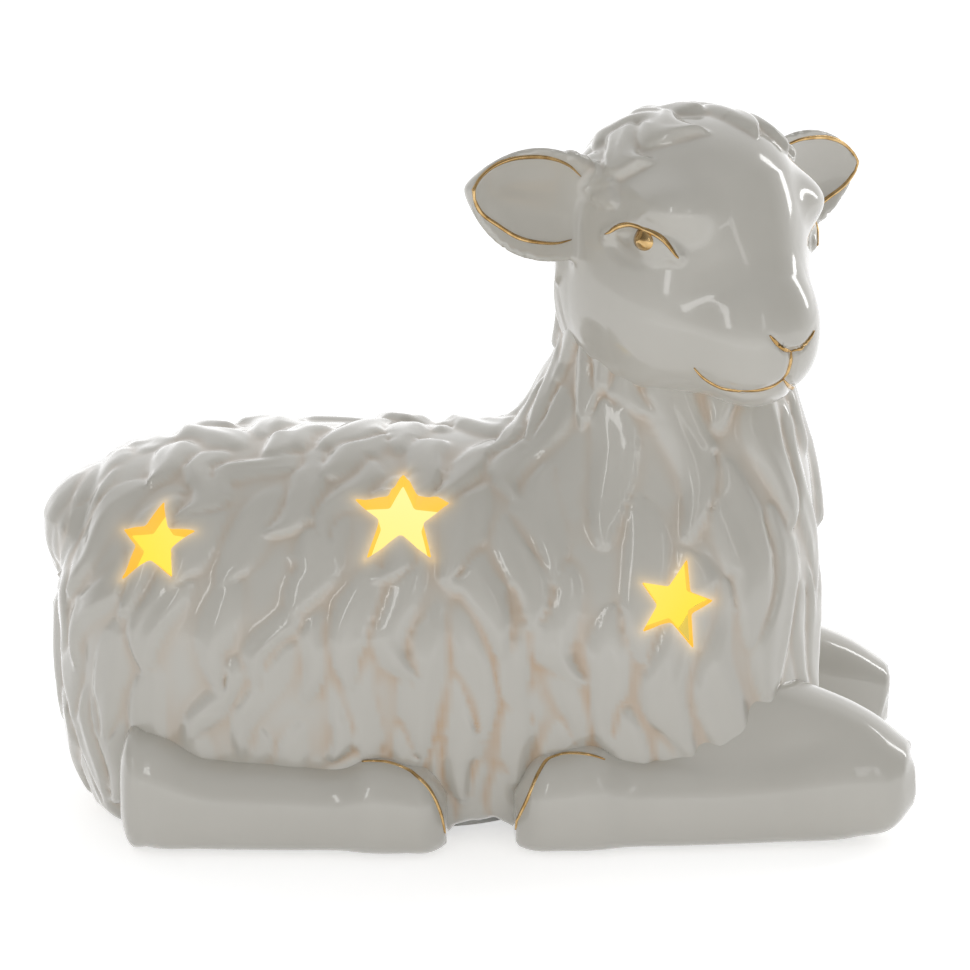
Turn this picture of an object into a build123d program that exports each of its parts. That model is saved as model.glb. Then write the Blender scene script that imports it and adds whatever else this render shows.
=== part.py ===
"""Reclining sheep night light: a glazed slip-cast porcelain figure, with star windows in its fleece,
over a battery light unit that plugs into its base.

Millimetres. +Z is up, +X runs from the rump to the chest, +Y is the sheep's left side. The origin is on
the table, under the middle of the figure.
"""

import math
import os

from build123d import *

# Porcelain body: trunk along X, chest and neck along Z
TRUNK_LENGTH = 120.0
TRUNK_WIDTH = 71.0
TRUNK_HEIGHT = 72.0
TRUNK_FRONT_X = 42.0
CHEST_X = 35.5
CHEST_LENGTH = 62.0
CHEST_WIDTH = 64.0
NECK_HEIGHT = 100.0
WALL = 3.2
FOOT_RECESS = 3.4
BASE_THICKNESS = 3.6
SLIP_JOINT = 0.15
NECK_BORE = 24.0

# Main locks of the fleece, which lie half sunk in the body
LOCK_LENGTH = 25.0
LOCK_WIDTH = 12.6
LOCK_RISE = 1.9
LOCK_SPACING = 14.0
LOCK_LEAN_DEGREES = 8.0
FLANK_FRONT_X = 3.0
FLANK_LOCKS_PER_ROW = 5
FLANK_ROW_DEGREES = [58.0, 30.0, 6.0]
BREAST_ROW_HEIGHTS = [69.0, 46.0]
BREAST_LOCKS_PER_ROW = 6

# Star windows
STAR_RADIUS = 9.2
STAR_WAIST_SHARE = 0.42
STAR_POINTS = 5
STAR_CUT_DEPTH = 13.0

# Head, turned to the sheep's right, and ears
HEAD_LENGTH = 59.5
HEAD_WIDTH = 46.0
HEAD_DEPTH = 46.0
HEAD_LEAD_X = 3.0
HEAD_ASIDE_Y = -3.0
HEAD_RISE = 8.6
HEAD_TURN_DEGREES = -50.0
HEAD_ROLL_DEGREES = 4.0
NOSE_DROP = 16.0
HEAD_PITCH_DEGREES = 40.0
FORELOCK_WIDTH = 31.0
FORELOCK_LENGTH = 21.0
FORELOCK_HEIGHT = 16.0
FORELOCK_LEAD = 0.0
FORELOCK_RISE = 17.5
CURL_LENGTH = 18.0
CURL_WIDTH = 10.5
CURL_RISE = 2.8
CURL_LEAN_DEGREES = 22.0
CURL_COUNT = 4
CURL_LEAD = 4.0
CURL_SPACING = 8.2
EAR_LENGTH = 36.0
EAR_BREADTH = 21.0
EAR_THICKNESS = 7.0
EAR_ROOT_ASIDE = 13.0
EAR_ROOT_BACK = 5.5
EAR_ROOT_RISE = 4.4
EAR_LIFT_DEGREES = 12.0
EAR_DISH_DEPTH = 3.4

# Legs, folded under the body
FORE_SHIN_LENGTH = 74.5
FORE_SHIN_WIDTH = 17.0
FORE_SHIN_HEIGHT = 19.4
FORE_HOOF_SETBACK = 27.5
FORE_HOOF_OUT = 1.5
FORE_TOE_IN_DEGREES = 6.0
FOREARM_LENGTH = 40.0
FOREARM_WIDTH = 19.0
FOREARM_RISE_DEGREES = 18.0
FOREARM_TURN_IN_DEGREES = 12.0
HIND_SHIN_LENGTH = 60.0
HIND_SHIN_WIDTH = 18.0
HIND_SHIN_HEIGHT = 18.0
HIND_HOOF_LEAD = 73.5
HIND_HOOF_LAP = 1.5
HIND_TOE_IN_DEGREES = 3.0

# Tail, lying down the rump
TAIL_LENGTH = 34.0
TAIL_WIDTH = 24.0
TAIL_THICKNESS = 18.0
TAIL_TIP_DROP = 32.0
TAIL_TIP_LAP = 0.2
TAIL_LEAN_DEGREES = 26.0

# Light unit in the base
LIGHT_X = -8.0
BARREL_DIAMETER = 40.0
BARREL_HEIGHT = 18.0
BARREL_WALL = 1.5
FLANGE_DIAMETER = 48.0
FLANGE_THICKNESS = 2.4
RING_THICKNESS = 2.0
RING_RIB_COUNT = 3
RING_RIB_DEPTH = 0.5
RING_CLEARANCE = 0.15
DOME_HEIGHT = 13.0
DOME_WALL = 1.2
DOME_SKIRT = 3.0

# Coin cells, their well and the battery door
CELL_DIAMETER = 20.0
CELL_THICKNESS = 3.2
CELL_CAP_DIAMETER = 17.6
CELL_CAP_STEP = 0.25
CELL_EDGE = 0.4
CELL_CLEARANCE = 0.3
WELL_OFFSET_X = -5.5
WELL_WALL = 1.3
WELL_ROOF = 1.2
SPRING_SPACE = 1.4
DOOR_THICKNESS = 1.2
DOOR_MARGIN = 2.4
DOOR_PLUG_HEIGHT = 1.0
DOOR_CLEARANCE = 0.25
DOOR_TAB_REACH = 1.2
DOOR_TAB_WIDTH = 6.0
DOOR_TAB_THICKNESS = 0.5
DOOR_TAB_SWING = 1.5
DOOR_RELIEF = 1.2
DOOR_EAR_RADIUS = 3.4
DOOR_EAR_THICKNESS = 2.2
SCREW_POST_WALL = 1.0
SCREW_ASIDE = 14.5
SCREW_RADIUS = 1.0
SCREW_ENGAGED = 1.6
SCREW_HEAD_RADIUS = 2.0
SCREW_HEAD_HEIGHT = 1.0
SCREW_CLEARANCE = 0.25
CROSS_WIDTH = 0.6
CROSS_LENGTH = 2.4
CROSS_DEPTH = 0.6

# Contacts
STRIP_THICKNESS = 0.3
STRIP_WIDTH = 4.0
STRIP_ASIDE = 4.0
STRIP_TAB = 4.0
STRIP_CLEARANCE = 0.2

# Circuit board and what is on it
BOARD_DIAMETER = 35.6
BOARD_THICKNESS = 1.6
BOARD_FLOOR_GAP = 4.6
BOARD_CLEARANCE = 0.5
POST_RADIUS = 2.2
POST_LEAD_X = 10.0
POST_ASIDE = 12.6
BOARD_SCREW_RADIUS = 0.9
BOARD_SCREW_LENGTH = 4.0
BOARD_SCREW_HEAD_RADIUS = 1.8
BOARD_SCREW_HEAD_HEIGHT = 1.2
LED_RADIUS = 2.5
LED_RIM_RADIUS = 2.9
LED_RIM_HEIGHT = 1.0
LED_BODY_HEIGHT = 5.0
LED_LEAD_LENGTH = 4.4
LED_LEAD_WIDTH = 0.5
LED_LEAD_PITCH = 2.54
LED_LEAD_X = 10.5
LED_ASIDE = 5.4
RESISTOR_RADIUS = 0.9
RESISTOR_LENGTH = 3.6
RESISTOR_LEAD_RADIUS = 0.25
RESISTOR_LEAD_REACH = 1.4
RESISTOR_X = 14.6
RESISTOR_RAISE = 0.3
SWITCH_X = 12.5
SWITCH_WIDTH = 4.4
SWITCH_LENGTH = 9.0
SWITCH_HEIGHT = 4.2
SWITCH_SLOT_DEPTH = 1.2
SLIDER_WIDTH = 2.0
SLIDER_LENGTH = 3.0
SLIDER_TRAVEL = 2.5
SLIDER_PROUD = 0.4
SLIDER_CLEARANCE = 0.2
SLIDER_GRIP_COUNT = 3
SLIDER_GRIP_DEPTH = 0.25

# Shape of every oval section, and a margin that every cut runs past its piece
SECTION_POINTS = 12
SQUARENESS = 2.3
OVERRUN = 1.0

# Rows of along, offset, half width, rise and drop, as shares of the piece's length, height, half width and height
TRUNK_STATION_SHARES = [
    (0.000, 0.54, 0.24, 0.16, 0.24),
    (0.016, 0.53, 0.48, 0.27, 0.44),
    (0.055, 0.51, 0.70, 0.38, 0.62),
    (0.150, 0.47, 0.90, 0.48, 0.68),
    (0.320, 0.45, 0.98, 0.545, 0.70),
    (0.520, 0.45, 1.00, 0.55, 0.70),
    (0.730, 0.45, 0.95, 0.53, 0.70),
    (0.900, 0.45, 0.80, 0.47, 0.68),
    (1.000, 0.45, 0.62, 0.36, 0.64),
]
# Rows of along, offset, half width, front and back reach, as shares of neck height, chest length, half width and length
CHEST_STATION_SHARES = [
    (-0.03, 0.0, 0.90, 0.47, 0.47),
    (0.15, 0.0, 1.00, 0.485, 0.48),
    (0.36, 0.0, 1.00, 0.485, 0.48),
    (0.53, 0.0, 0.92, 0.480, 0.47),
    (0.67, 0.0, 0.77, 0.455, 0.46),
    (0.77, 0.0, 0.68, 0.415, 0.40),
    (0.87, 0.0, 0.62, 0.365, 0.325),
    (1.00, 0.0, 0.58, 0.320, 0.30),
]
# Rows of along, offset, half width, rise and drop, as shares of head length, depth, half width and depth
HEAD_STATION_SHARES = [
    (0.000, 0.0, 0.29, 0.07, 0.13),
    (0.075, 0.0, 0.69, 0.28, 0.29),
    (0.200, 0.0, 0.92, 0.425, 0.42),
    (0.385, 0.0, 1.00, 0.50, 0.50),
    (0.540, 0.0, 0.94, 0.475, 0.47),
    (0.680, 0.0, 0.80, 0.40, 0.37),
    (0.800, 0.0, 0.635, 0.32, 0.27),
    (0.895, 0.0, 0.53, 0.25, 0.185),
    (0.960, 0.0, 0.41, 0.185, 0.10),
    (1.000, 0.0, 0.20, 0.125, 0.01),
]
HEAD_CENTRE_SHARE = 0.385
# Rows of along and radius, as shares of a lock's length and half width
LOCK_OUTLINE_SHARES = [(0.0, 0.0), (0.22, 0.66), (0.52, 1.0), (0.80, 0.72), (1.0, 0.0)]
# Rows of along, offset, half length, rise and drop, as shares of forelock width, height, half length and height
FORELOCK_STATION_SHARES = [
    (0.00, 0.0, 0.34, 0.15, 0.17),
    (0.09, 0.0, 0.68, 0.31, 0.33),
    (0.28, 0.0, 0.95, 0.46, 0.48),
    (0.50, 0.0, 1.00, 0.50, 0.50),
    (0.72, 0.0, 0.95, 0.46, 0.48),
    (0.91, 0.0, 0.68, 0.31, 0.33),
    (1.00, 0.0, 0.34, 0.15, 0.17),
]
# Rows of along, offset, half thickness, rise and drop, as shares of ear length, breadth, half thickness and breadth
EAR_STATION_SHARES = [
    (0.00, 0.0, 0.90, 0.30, 0.30),
    (0.25, 0.0, 1.00, 0.40, 0.40),
    (0.50, 0.0, 1.00, 0.49, 0.50),
    (0.70, 0.0, 0.92, 0.44, 0.46),
    (0.86, 0.0, 0.76, 0.31, 0.33),
    (0.96, 0.0, 0.52, 0.17, 0.18),
    (1.00, 0.0, 0.26, 0.07, 0.08),
]
# Rows of along, centre height, half width, rise and drop, as shares of shin length, height, half width and height
FORE_SHIN_SHARES = [
    (0.000, 0.36, 0.40, 0.20, 0.30),
    (0.035, 0.42, 0.76, 0.36, 0.40),
    (0.110, 0.47, 0.96, 0.46, 0.47),
    (0.215, 0.48, 1.00, 0.48, 0.48),
    (0.250, 0.45, 0.90, 0.42, 0.44),
    (0.420, 0.43, 0.88, 0.39, 0.42),
    (0.650, 0.47, 0.94, 0.43, 0.45),
    (0.850, 0.60, 1.08, 0.56, 0.52),
    (0.955, 0.62, 0.88, 0.46, 0.44),
    (1.000, 0.64, 0.46, 0.24, 0.26),
]
FOREARM_SHARES = [
    (0.00, 0.0, 0.70, 0.32, 0.32),
    (0.20, 0.0, 0.94, 0.46, 0.44),
    (0.60, 0.0, 1.10, 0.56, 0.50),
    (1.00, 0.0, 1.16, 0.62, 0.50),
]
KNEE_ALONG_SHARE = 0.97
KNEE_HEIGHT_SHARE = 0.70
HIND_SHIN_SHARES = [
    (0.000, 0.38, 0.42, 0.22, 0.30),
    (0.040, 0.44, 0.78, 0.38, 0.42),
    (0.130, 0.48, 0.97, 0.47, 0.48),
    (0.255, 0.49, 1.00, 0.50, 0.49),
    (0.295, 0.47, 0.93, 0.45, 0.46),
    (0.500, 0.47, 0.92, 0.45, 0.46),
    (0.750, 0.50, 0.97, 0.50, 0.49),
    (0.920, 0.62, 0.98, 0.62, 0.60),
    (0.985, 0.66, 0.80, 0.56, 0.58),
    (1.000, 0.66, 0.60, 0.42, 0.46),
]
TAIL_STATION_SHARES = [
    (0.00, 0.0, 0.34, 0.16, 0.16),
    (0.12, 0.0, 0.70, 0.32, 0.30),
    (0.40, 0.0, 1.00, 0.50, 0.46),
    (0.70, 0.0, 0.96, 0.50, 0.46),
    (0.92, 0.0, 0.62, 0.34, 0.32),
    (1.00, 0.0, 0.28, 0.16, 0.16),
]
# Each star window: place along the trunk, aside and up as shares, its size, then yaw, tilt and lean in degrees
TRUNK_CORE_SHARE = 0.45
STAR_PLACE_SHARES = [
    (0.167, 0.73, 0.789, 0.92, -20.0, 34.0, -2.0),
    (0.543, 0.72, 0.858, 1.09, 2.0, 43.0, 3.0),
    (0.962, 0.86, 0.647, 0.90, 4.0, 10.0, 15.0),
]

# Sizes worked out from the driving ones
RUMP_X = TRUNK_FRONT_X - TRUNK_LENGTH
BASE_TOP = FOOT_RECESS + BASE_THICKNESS
FAR = TRUNK_LENGTH + CHEST_LENGTH + NECK_HEIGHT
NECK_AXIS = Vector(CHEST_X, 0, 0)
HEAD_TURN = math.radians(HEAD_TURN_DEGREES)
HEAD_ROLL = math.radians(HEAD_ROLL_DEGREES)
HEAD_FORWARD = Vector(math.cos(HEAD_TURN), math.sin(HEAD_TURN), 0)
HEAD_LEVEL_LEFT = Vector(-math.sin(HEAD_TURN), math.cos(HEAD_TURN), 0)
HEAD_CROWN = Vector(0, 0, math.cos(HEAD_ROLL)) + HEAD_LEVEL_LEFT * math.sin(HEAD_ROLL)
NOSE_PIVOT = Vector(CHEST_X + HEAD_LEAD_X, HEAD_ASIDE_Y, NECK_HEIGHT + HEAD_RISE - NOSE_DROP)
HEAD_CENTRE = NOSE_PIVOT + HEAD_CROWN * NOSE_DROP
HEAD_PLANE = Plane(origin=HEAD_CENTRE, x_dir=HEAD_FORWARD, z_dir=HEAD_CROWN)
TRUNK_CORE_Z = TRUNK_CORE_SHARE * TRUNK_HEIGHT
UNIT_AXIS = Vector(LIGHT_X, 0, 0)
BARREL_RADIUS = BARREL_DIAMETER / 2
BARREL_TOP = FOOT_RECESS + BARREL_HEIGHT
UNIT_BOTTOM = FOOT_RECESS - FLANGE_THICKNESS
BASE_HOLE_RADIUS = BARREL_RADIUS + RING_THICKNESS
CELL_RADIUS = CELL_DIAMETER / 2
WELL_RADIUS = CELL_RADIUS + CELL_CLEARANCE
WELL_OUTER = WELL_RADIUS + WELL_WALL
WELL_AXIS = UNIT_AXIS + Vector(WELL_OFFSET_X, 0, 0)
DOOR_TOP = UNIT_BOTTOM + DOOR_THICKNESS
CELL_FLOOR = DOOR_TOP + DOOR_PLUG_HEIGHT
CELL_TOP = CELL_FLOOR + 2 * CELL_THICKNESS
ROOF_UNDER = CELL_TOP + SPRING_SPACE
ROOF_TOP = ROOF_UNDER + WELL_ROOF
BOARD_UNDER = FOOT_RECESS + BOARD_FLOOR_GAP
BOARD_TOP = BOARD_UNDER + BOARD_THICKNESS
DOOR_RADIUS = WELL_RADIUS + DOOR_MARGIN
REBATE_RADIUS = DOOR_RADIUS + DOOR_CLEARANCE
SCREW_AXIS = WELL_AXIS + Vector(0, SCREW_ASIDE, 0)
DOOR_HINGE_Y = -REBATE_RADIUS
DOOR_HINGE_Z = UNIT_BOTTOM + DOOR_THICKNESS - DOOR_TAB_THICKNESS
SLIDER_TOP = BOARD_UNDER - SWITCH_HEIGHT + SWITCH_SLOT_DEPTH


def signed_power(value, power):
    """A power that keeps the sign, for superellipse outlines."""
    return math.copysign(abs(value) ** power, value)


def oval_wire(plane, half_width, rise, drop):
    """One closed egg-shaped section: half_width each side, rise above the plane's origin and drop below it."""
    points = []
    for step in range(SECTION_POINTS):
        turn = 2 * math.pi * step / SECTION_POINTS
        across = half_width * signed_power(math.cos(turn), 2 / SQUARENESS)
        reach = rise if math.sin(turn) > 0 else drop
        points.append(plane.from_local_coords((across, reach * signed_power(math.sin(turn), 2 / SQUARENESS), 0)))
    return Wire([Edge.make_spline(points, periodic=True)])


def lofted(frame, shares, sizes, inset=0.0):
    """A form lofted along the frame's z axis; x is its width and y its height. A positive inset gives the
    inner face of a wall that thick, and a negative one a form that is larger all round."""
    length, offset_size, half_width, height = sizes
    last = len(shares) - 1
    sections = []
    for row, (along, offset, width, rise, drop) in enumerate(shares):
        end_shift = inset if row == 0 else -inset if row == last else 0
        origin = frame.from_local_coords((0, offset * offset_size, along * length + end_shift))
        plane = Plane(origin=origin, x_dir=frame.x_dir, z_dir=frame.z_dir)
        sections.append(
            oval_wire(plane, width * half_width - inset, rise * height - inset, drop * height - inset)
        )
    return Solid.make_loft(sections)


def slab(low_z, high_z):
    """All the space between two heights, wider than the figure."""
    return Pos(0, 0, (low_z + high_z) / 2) * Box(2 * FAR, 2 * FAR, high_z - low_z)


def disc(axis, radius, low_z, high_z):
    """An upright cylinder on an axis between two heights."""
    return Pos(axis.X, axis.Y, (low_z + high_z) / 2) * Cylinder(radius, high_z - low_z)


def block(centre_x, centre_y, size_x, size_y, low_z, high_z):
    """An upright box between two heights."""
    return Pos(centre_x, centre_y, (low_z + high_z) / 2) * Box(size_x, size_y, high_z - low_z)


def turned(points, axis):
    """A solid turned about an upright axis from an outline of (radius, height) points."""
    outline = make_face(Polyline([(r, 0, z) for r, z in points], close=True))
    return Pos(axis.X, axis.Y, 0) * revolve(outline, Axis.Z)


# Porcelain
def trunk_form(inset=0.0):
    frame = Plane(origin=(RUMP_X, 0, 0), x_dir=(0, 1, 0), z_dir=(1, 0, 0))
    sizes = (TRUNK_LENGTH, TRUNK_HEIGHT, TRUNK_WIDTH / 2, TRUNK_HEIGHT)
    return lofted(frame, TRUNK_STATION_SHARES, sizes, inset)


def chest_form(inset=0.0):
    frame = Plane(origin=NECK_AXIS, x_dir=(0, -1, 0), z_dir=(0, 0, 1))
    sizes = (NECK_HEIGHT, CHEST_LENGTH, CHEST_WIDTH / 2, CHEST_LENGTH)
    return lofted(frame, CHEST_STATION_SHARES, sizes, inset)


def body_form(inset=0.0):
    return trunk_form(inset) + chest_form(inset)


def star_cutter(place):
    """A five-pointed bar that cuts one star window square to the fleece."""
    along, aside, up, size, yaw, tilt, lean = place
    outline = []
    for corner in range(2 * STAR_POINTS):
        radius = STAR_RADIUS * size * (1 if corner % 2 == 0 else STAR_WAIST_SHARE)
        turn = math.pi / 2 + math.pi * corner / STAR_POINTS
        outline.append((radius * math.cos(turn), radius * math.sin(turn)))
    star = make_face(Polyline(outline, close=True))
    bar = extrude(star, STAR_CUT_DEPTH, both=True)
    centre = (RUMP_X + along * TRUNK_LENGTH, -aside * TRUNK_WIDTH / 2, up * TRUNK_HEIGHT)
    upright = Rot(Z=yaw) * Rot(X=90 - tilt) * Rot(Z=-lean)
    return Pos(*centre) * upright * bar


def lock(form, ray, comb, length, width, rise):
    """One lock: a spindle combed along the skin of a form, sunk in it until only its upper side shows. The ray
    goes out through the skin where the lock lies."""
    skin, normal = max(form.find_intersection_points(ray), key=lambda hit: (hit[0] - ray.position).dot(ray.direction))
    if normal.dot(ray.direction) < 0:
        normal = -normal
    outline = Spline([(along * length, radius * width / 2) for along, radius in LOCK_OUTLINE_SHARES])
    spindle = revolve(make_face([outline, Line((length, 0), (0, 0))]), Axis.X)
    lie = Plane(origin=skin - normal * (width / 2 - rise), x_dir=comb - normal * comb.dot(normal), z_dir=normal)
    return lie.location * Pos(-length / 2, 0, 0) * spindle


def flank_locks(trunk):
    """Staggered rows down each flank, combed back a little."""
    lean = math.radians(LOCK_LEAN_DEGREES)
    comb = Vector(-math.sin(lean), 0, -math.cos(lean))
    locks = []
    for side in (-1, 1):
        for row, degrees in enumerate(FLANK_ROW_DEGREES):
            lift = math.radians(degrees)
            out = Vector(0, side * math.cos(lift), math.sin(lift))
            for place in range(FLANK_LOCKS_PER_ROW):
                x = FLANK_FRONT_X - (place + row % 2 / 2) * LOCK_SPACING
                ray = Axis((x, 0, TRUNK_CORE_Z), out)
                locks.append(lock(trunk, ray, comb, LOCK_LENGTH, LOCK_WIDTH, LOCK_RISE))
    return locks


def breast_locks(chest):
    """Staggered rows round the front of the chest."""
    step = LOCK_SPACING / (CHEST_WIDTH / 2)
    locks = []
    for row, height in enumerate(BREAST_ROW_HEIGHTS):
        count = BREAST_LOCKS_PER_ROW - row % 2
        for place in range(count):
            turn = (place - (count - 1) / 2) * step
            ray = Axis((CHEST_X, 0, height), (math.cos(turn), math.sin(turn), 0))
            locks.append(lock(chest, ray, Vector(0, 0, -1), LOCK_LENGTH, LOCK_WIDTH, LOCK_RISE))
    return locks


def fleece_body():
    trunk, chest = trunk_form(), chest_form()
    outer = ((trunk + chest) & slab(0, FAR)).fuse(*flank_locks(trunk)).fuse(*breast_locks(chest))
    cavity = body_form(WALL) & slab(BASE_TOP, FAR)
    foot_recess = body_form(WALL) & slab(-OVERRUN, FOOT_RECESS)
    base_hole = disc(UNIT_AXIS, BASE_HOLE_RADIUS, -OVERRUN, BASE_TOP + OVERRUN)
    neck_bore = disc(NECK_AXIS, NECK_BORE / 2, NECK_HEIGHT - 2 * WALL, NECK_HEIGHT + OVERRUN)
    shell = outer - cavity - foot_recess - base_hole - neck_bore
    for place in STAR_PLACE_SHARES:
        shell -= star_cutter(place)
    return shell


def head_form(inset=0.0):
    pitch = math.radians(HEAD_PITCH_DEGREES)
    left = HEAD_PLANE.y_dir
    axis = HEAD_PLANE.x_dir * math.cos(pitch) - HEAD_PLANE.z_dir * math.sin(pitch)
    origin = HEAD_CENTRE - axis * (HEAD_CENTRE_SHARE * HEAD_LENGTH)
    frame = Plane(origin=origin, x_dir=left, z_dir=axis)
    return lofted(frame, HEAD_STATION_SHARES, (HEAD_LENGTH, HEAD_DEPTH, HEAD_WIDTH / 2, HEAD_DEPTH), inset)


def forelock_form(inset=0.0):
    """The tuft of wool over the brow, from ear to ear."""
    origin = HEAD_PLANE.from_local_coords((FORELOCK_LEAD, -FORELOCK_WIDTH / 2, FORELOCK_RISE))
    frame = Plane(origin=origin, x_dir=-HEAD_PLANE.x_dir, z_dir=HEAD_PLANE.y_dir)
    sizes = (FORELOCK_WIDTH, FORELOCK_HEIGHT, FORELOCK_LENGTH / 2, FORELOCK_HEIGHT)
    return lofted(frame, FORELOCK_STATION_SHARES, sizes, inset)


def curls():
    """The thick curls of the forelock, side by side from ear to ear, which fan out over the brow."""
    tuft = forelock_form()
    locks = []
    for place in range(CURL_COUNT):
        aside = (place - (CURL_COUNT - 1) / 2) * CURL_SPACING
        fan = math.radians(CURL_LEAN_DEGREES) * aside / CURL_SPACING
        comb = HEAD_FORWARD * math.cos(fan) + HEAD_PLANE.y_dir * math.sin(fan)
        ray = Axis(HEAD_PLANE.from_local_coords((CURL_LEAD, aside, FORELOCK_RISE)), HEAD_CROWN)
        locks.append(lock(tuft, ray, comb, CURL_LENGTH, CURL_WIDTH, CURL_RISE))
    return locks


def head(neck_cutter):
    return (head_form() + forelock_form()).fuse(*curls()) - head_form(WALL) - neck_cutter


def right_ear():
    lift = math.radians(EAR_LIFT_DEGREES)
    root = HEAD_PLANE.from_local_coords((-EAR_ROOT_BACK, -EAR_ROOT_ASIDE, EAR_ROOT_RISE))
    axis = HEAD_PLANE.y_dir * -math.cos(lift) + HEAD_PLANE.z_dir * math.sin(lift)
    frame = Plane(origin=root, x_dir=HEAD_PLANE.x_dir, z_dir=axis)
    sizes = (EAR_LENGTH, EAR_BREADTH, EAR_THICKNESS / 2, EAR_BREADTH)
    leaf = lofted(frame, EAR_STATION_SHARES, sizes)
    dish_frame = Plane(origin=frame.from_local_coords((EAR_THICKNESS / 2, 0, 0)), x_dir=frame.x_dir, z_dir=axis)
    dish_sizes = (EAR_LENGTH - EAR_DISH_DEPTH, EAR_BREADTH, EAR_DISH_DEPTH, EAR_BREADTH - EAR_DISH_DEPTH)
    dish = lofted(dish_frame, EAR_STATION_SHARES, dish_sizes)
    return leaf - dish


def right_foreleg():
    toe_in = math.radians(FORE_TOE_IN_DEGREES)
    along = Vector(math.cos(toe_in), math.sin(toe_in), 0)
    hoof = Vector(CHEST_X - FORE_HOOF_SETBACK, -(CHEST_WIDTH / 2 + FORE_HOOF_OUT), 0)
    frame = Plane(origin=hoof, x_dir=Vector(0, 0, 1).cross(along), z_dir=along)
    shin_sizes = (FORE_SHIN_LENGTH, FORE_SHIN_HEIGHT, FORE_SHIN_WIDTH / 2, FORE_SHIN_HEIGHT)
    shin = lofted(frame, FORE_SHIN_SHARES, shin_sizes)
    rise = math.radians(FOREARM_RISE_DEGREES)
    turn_in = math.radians(FOREARM_TURN_IN_DEGREES)
    level = Vector(-math.cos(turn_in), math.sin(turn_in), 0)
    back = level * math.cos(rise) + Vector(0, 0, math.sin(rise))
    knee = hoof + along * (KNEE_ALONG_SHARE * FORE_SHIN_LENGTH) + Vector(0, 0, KNEE_HEIGHT_SHARE * FORE_SHIN_HEIGHT)
    arm_frame = Plane(origin=knee, x_dir=Vector(0, 0, 1).cross(level), z_dir=back)
    arm = lofted(arm_frame, FOREARM_SHARES, (FOREARM_LENGTH, FOREARM_WIDTH, FOREARM_WIDTH / 2, FOREARM_WIDTH))
    return (shin + arm) & slab(0, FAR)


def right_hindleg():
    toe_in = math.radians(HIND_TOE_IN_DEGREES)
    along = Vector(-math.cos(toe_in), math.sin(toe_in), 0)
    hoof = Vector(RUMP_X + HIND_HOOF_LEAD, -(TRUNK_WIDTH / 2 - HIND_HOOF_LAP), 0)
    frame = Plane(origin=hoof, x_dir=Vector(0, 0, 1).cross(along), z_dir=along)
    sizes = (HIND_SHIN_LENGTH, HIND_SHIN_HEIGHT, HIND_SHIN_WIDTH / 2, HIND_SHIN_HEIGHT)
    return lofted(frame, HIND_SHIN_SHARES, sizes) & slab(0, FAR)


def tail(body_cutter):
    lean = math.radians(TAIL_LEAN_DEGREES)
    up = Vector(math.sin(lean), 0, math.cos(lean))
    frame = Plane(origin=(RUMP_X + TAIL_TIP_LAP, 0, TRUNK_HEIGHT - TAIL_TIP_DROP), x_dir=(0, 1, 0), z_dir=up)
    sizes = (TAIL_LENGTH, TAIL_THICKNESS, TAIL_WIDTH / 2, TAIL_THICKNESS)
    return lofted(frame, TAIL_STATION_SHARES, sizes) - body_cutter


# Light unit
def grip_ring():
    """A ribbed silicone ring on the barrel that grips the hole in the porcelain base."""
    outer = BASE_HOLE_RADIUS - RING_CLEARANCE
    rib_pitch = BASE_THICKNESS / RING_RIB_COUNT
    outline = [(BARREL_RADIUS, FOOT_RECESS)]
    for rib in range(RING_RIB_COUNT):
        foot = FOOT_RECESS + rib * rib_pitch
        outline.append((outer - RING_RIB_DEPTH, foot))
        outline.append((outer, foot + rib_pitch / 2))
    outline.append((outer - RING_RIB_DEPTH, BASE_TOP))
    outline.append((BARREL_RADIUS, BASE_TOP))
    return turned(outline, UNIT_AXIS)


def door_outline(margin, low_z, high_z):
    """The door's round plate with the ear that carries its screw, larger by a margin."""
    plate = disc(WELL_AXIS, DOOR_RADIUS + margin, low_z, high_z)
    ear = disc(SCREW_AXIS, DOOR_EAR_RADIUS + margin, low_z, high_z)
    return plate + ear


def tab_space(margin, low_z, high_z, reach):
    """The tongue that hooks the door over the housing's ledge."""
    inner = -DOOR_RADIUS + DOOR_MARGIN
    outer = DOOR_HINGE_Y - reach
    width = DOOR_TAB_WIDTH + 2 * margin
    return block(WELL_AXIS.X, (inner + outer) / 2, width, inner - outer, low_z, high_z)


def board_post_axes():
    return [UNIT_AXIS + Vector(POST_LEAD_X, side * POST_ASIDE, 0) for side in (-1, 1)]


def contact_windows():
    """Two windows in the wall of the well, where the contact strips come out to the board."""
    outer = WELL_OUTER + OVERRUN
    width = STRIP_WIDTH + 2 * STRIP_CLEARANCE
    centre_x = WELL_AXIS.X + outer / 2
    return [block(centre_x, side * STRIP_ASIDE, outer, width, CELL_FLOOR, ROOF_UNDER) for side in (-1, 1)]


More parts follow.
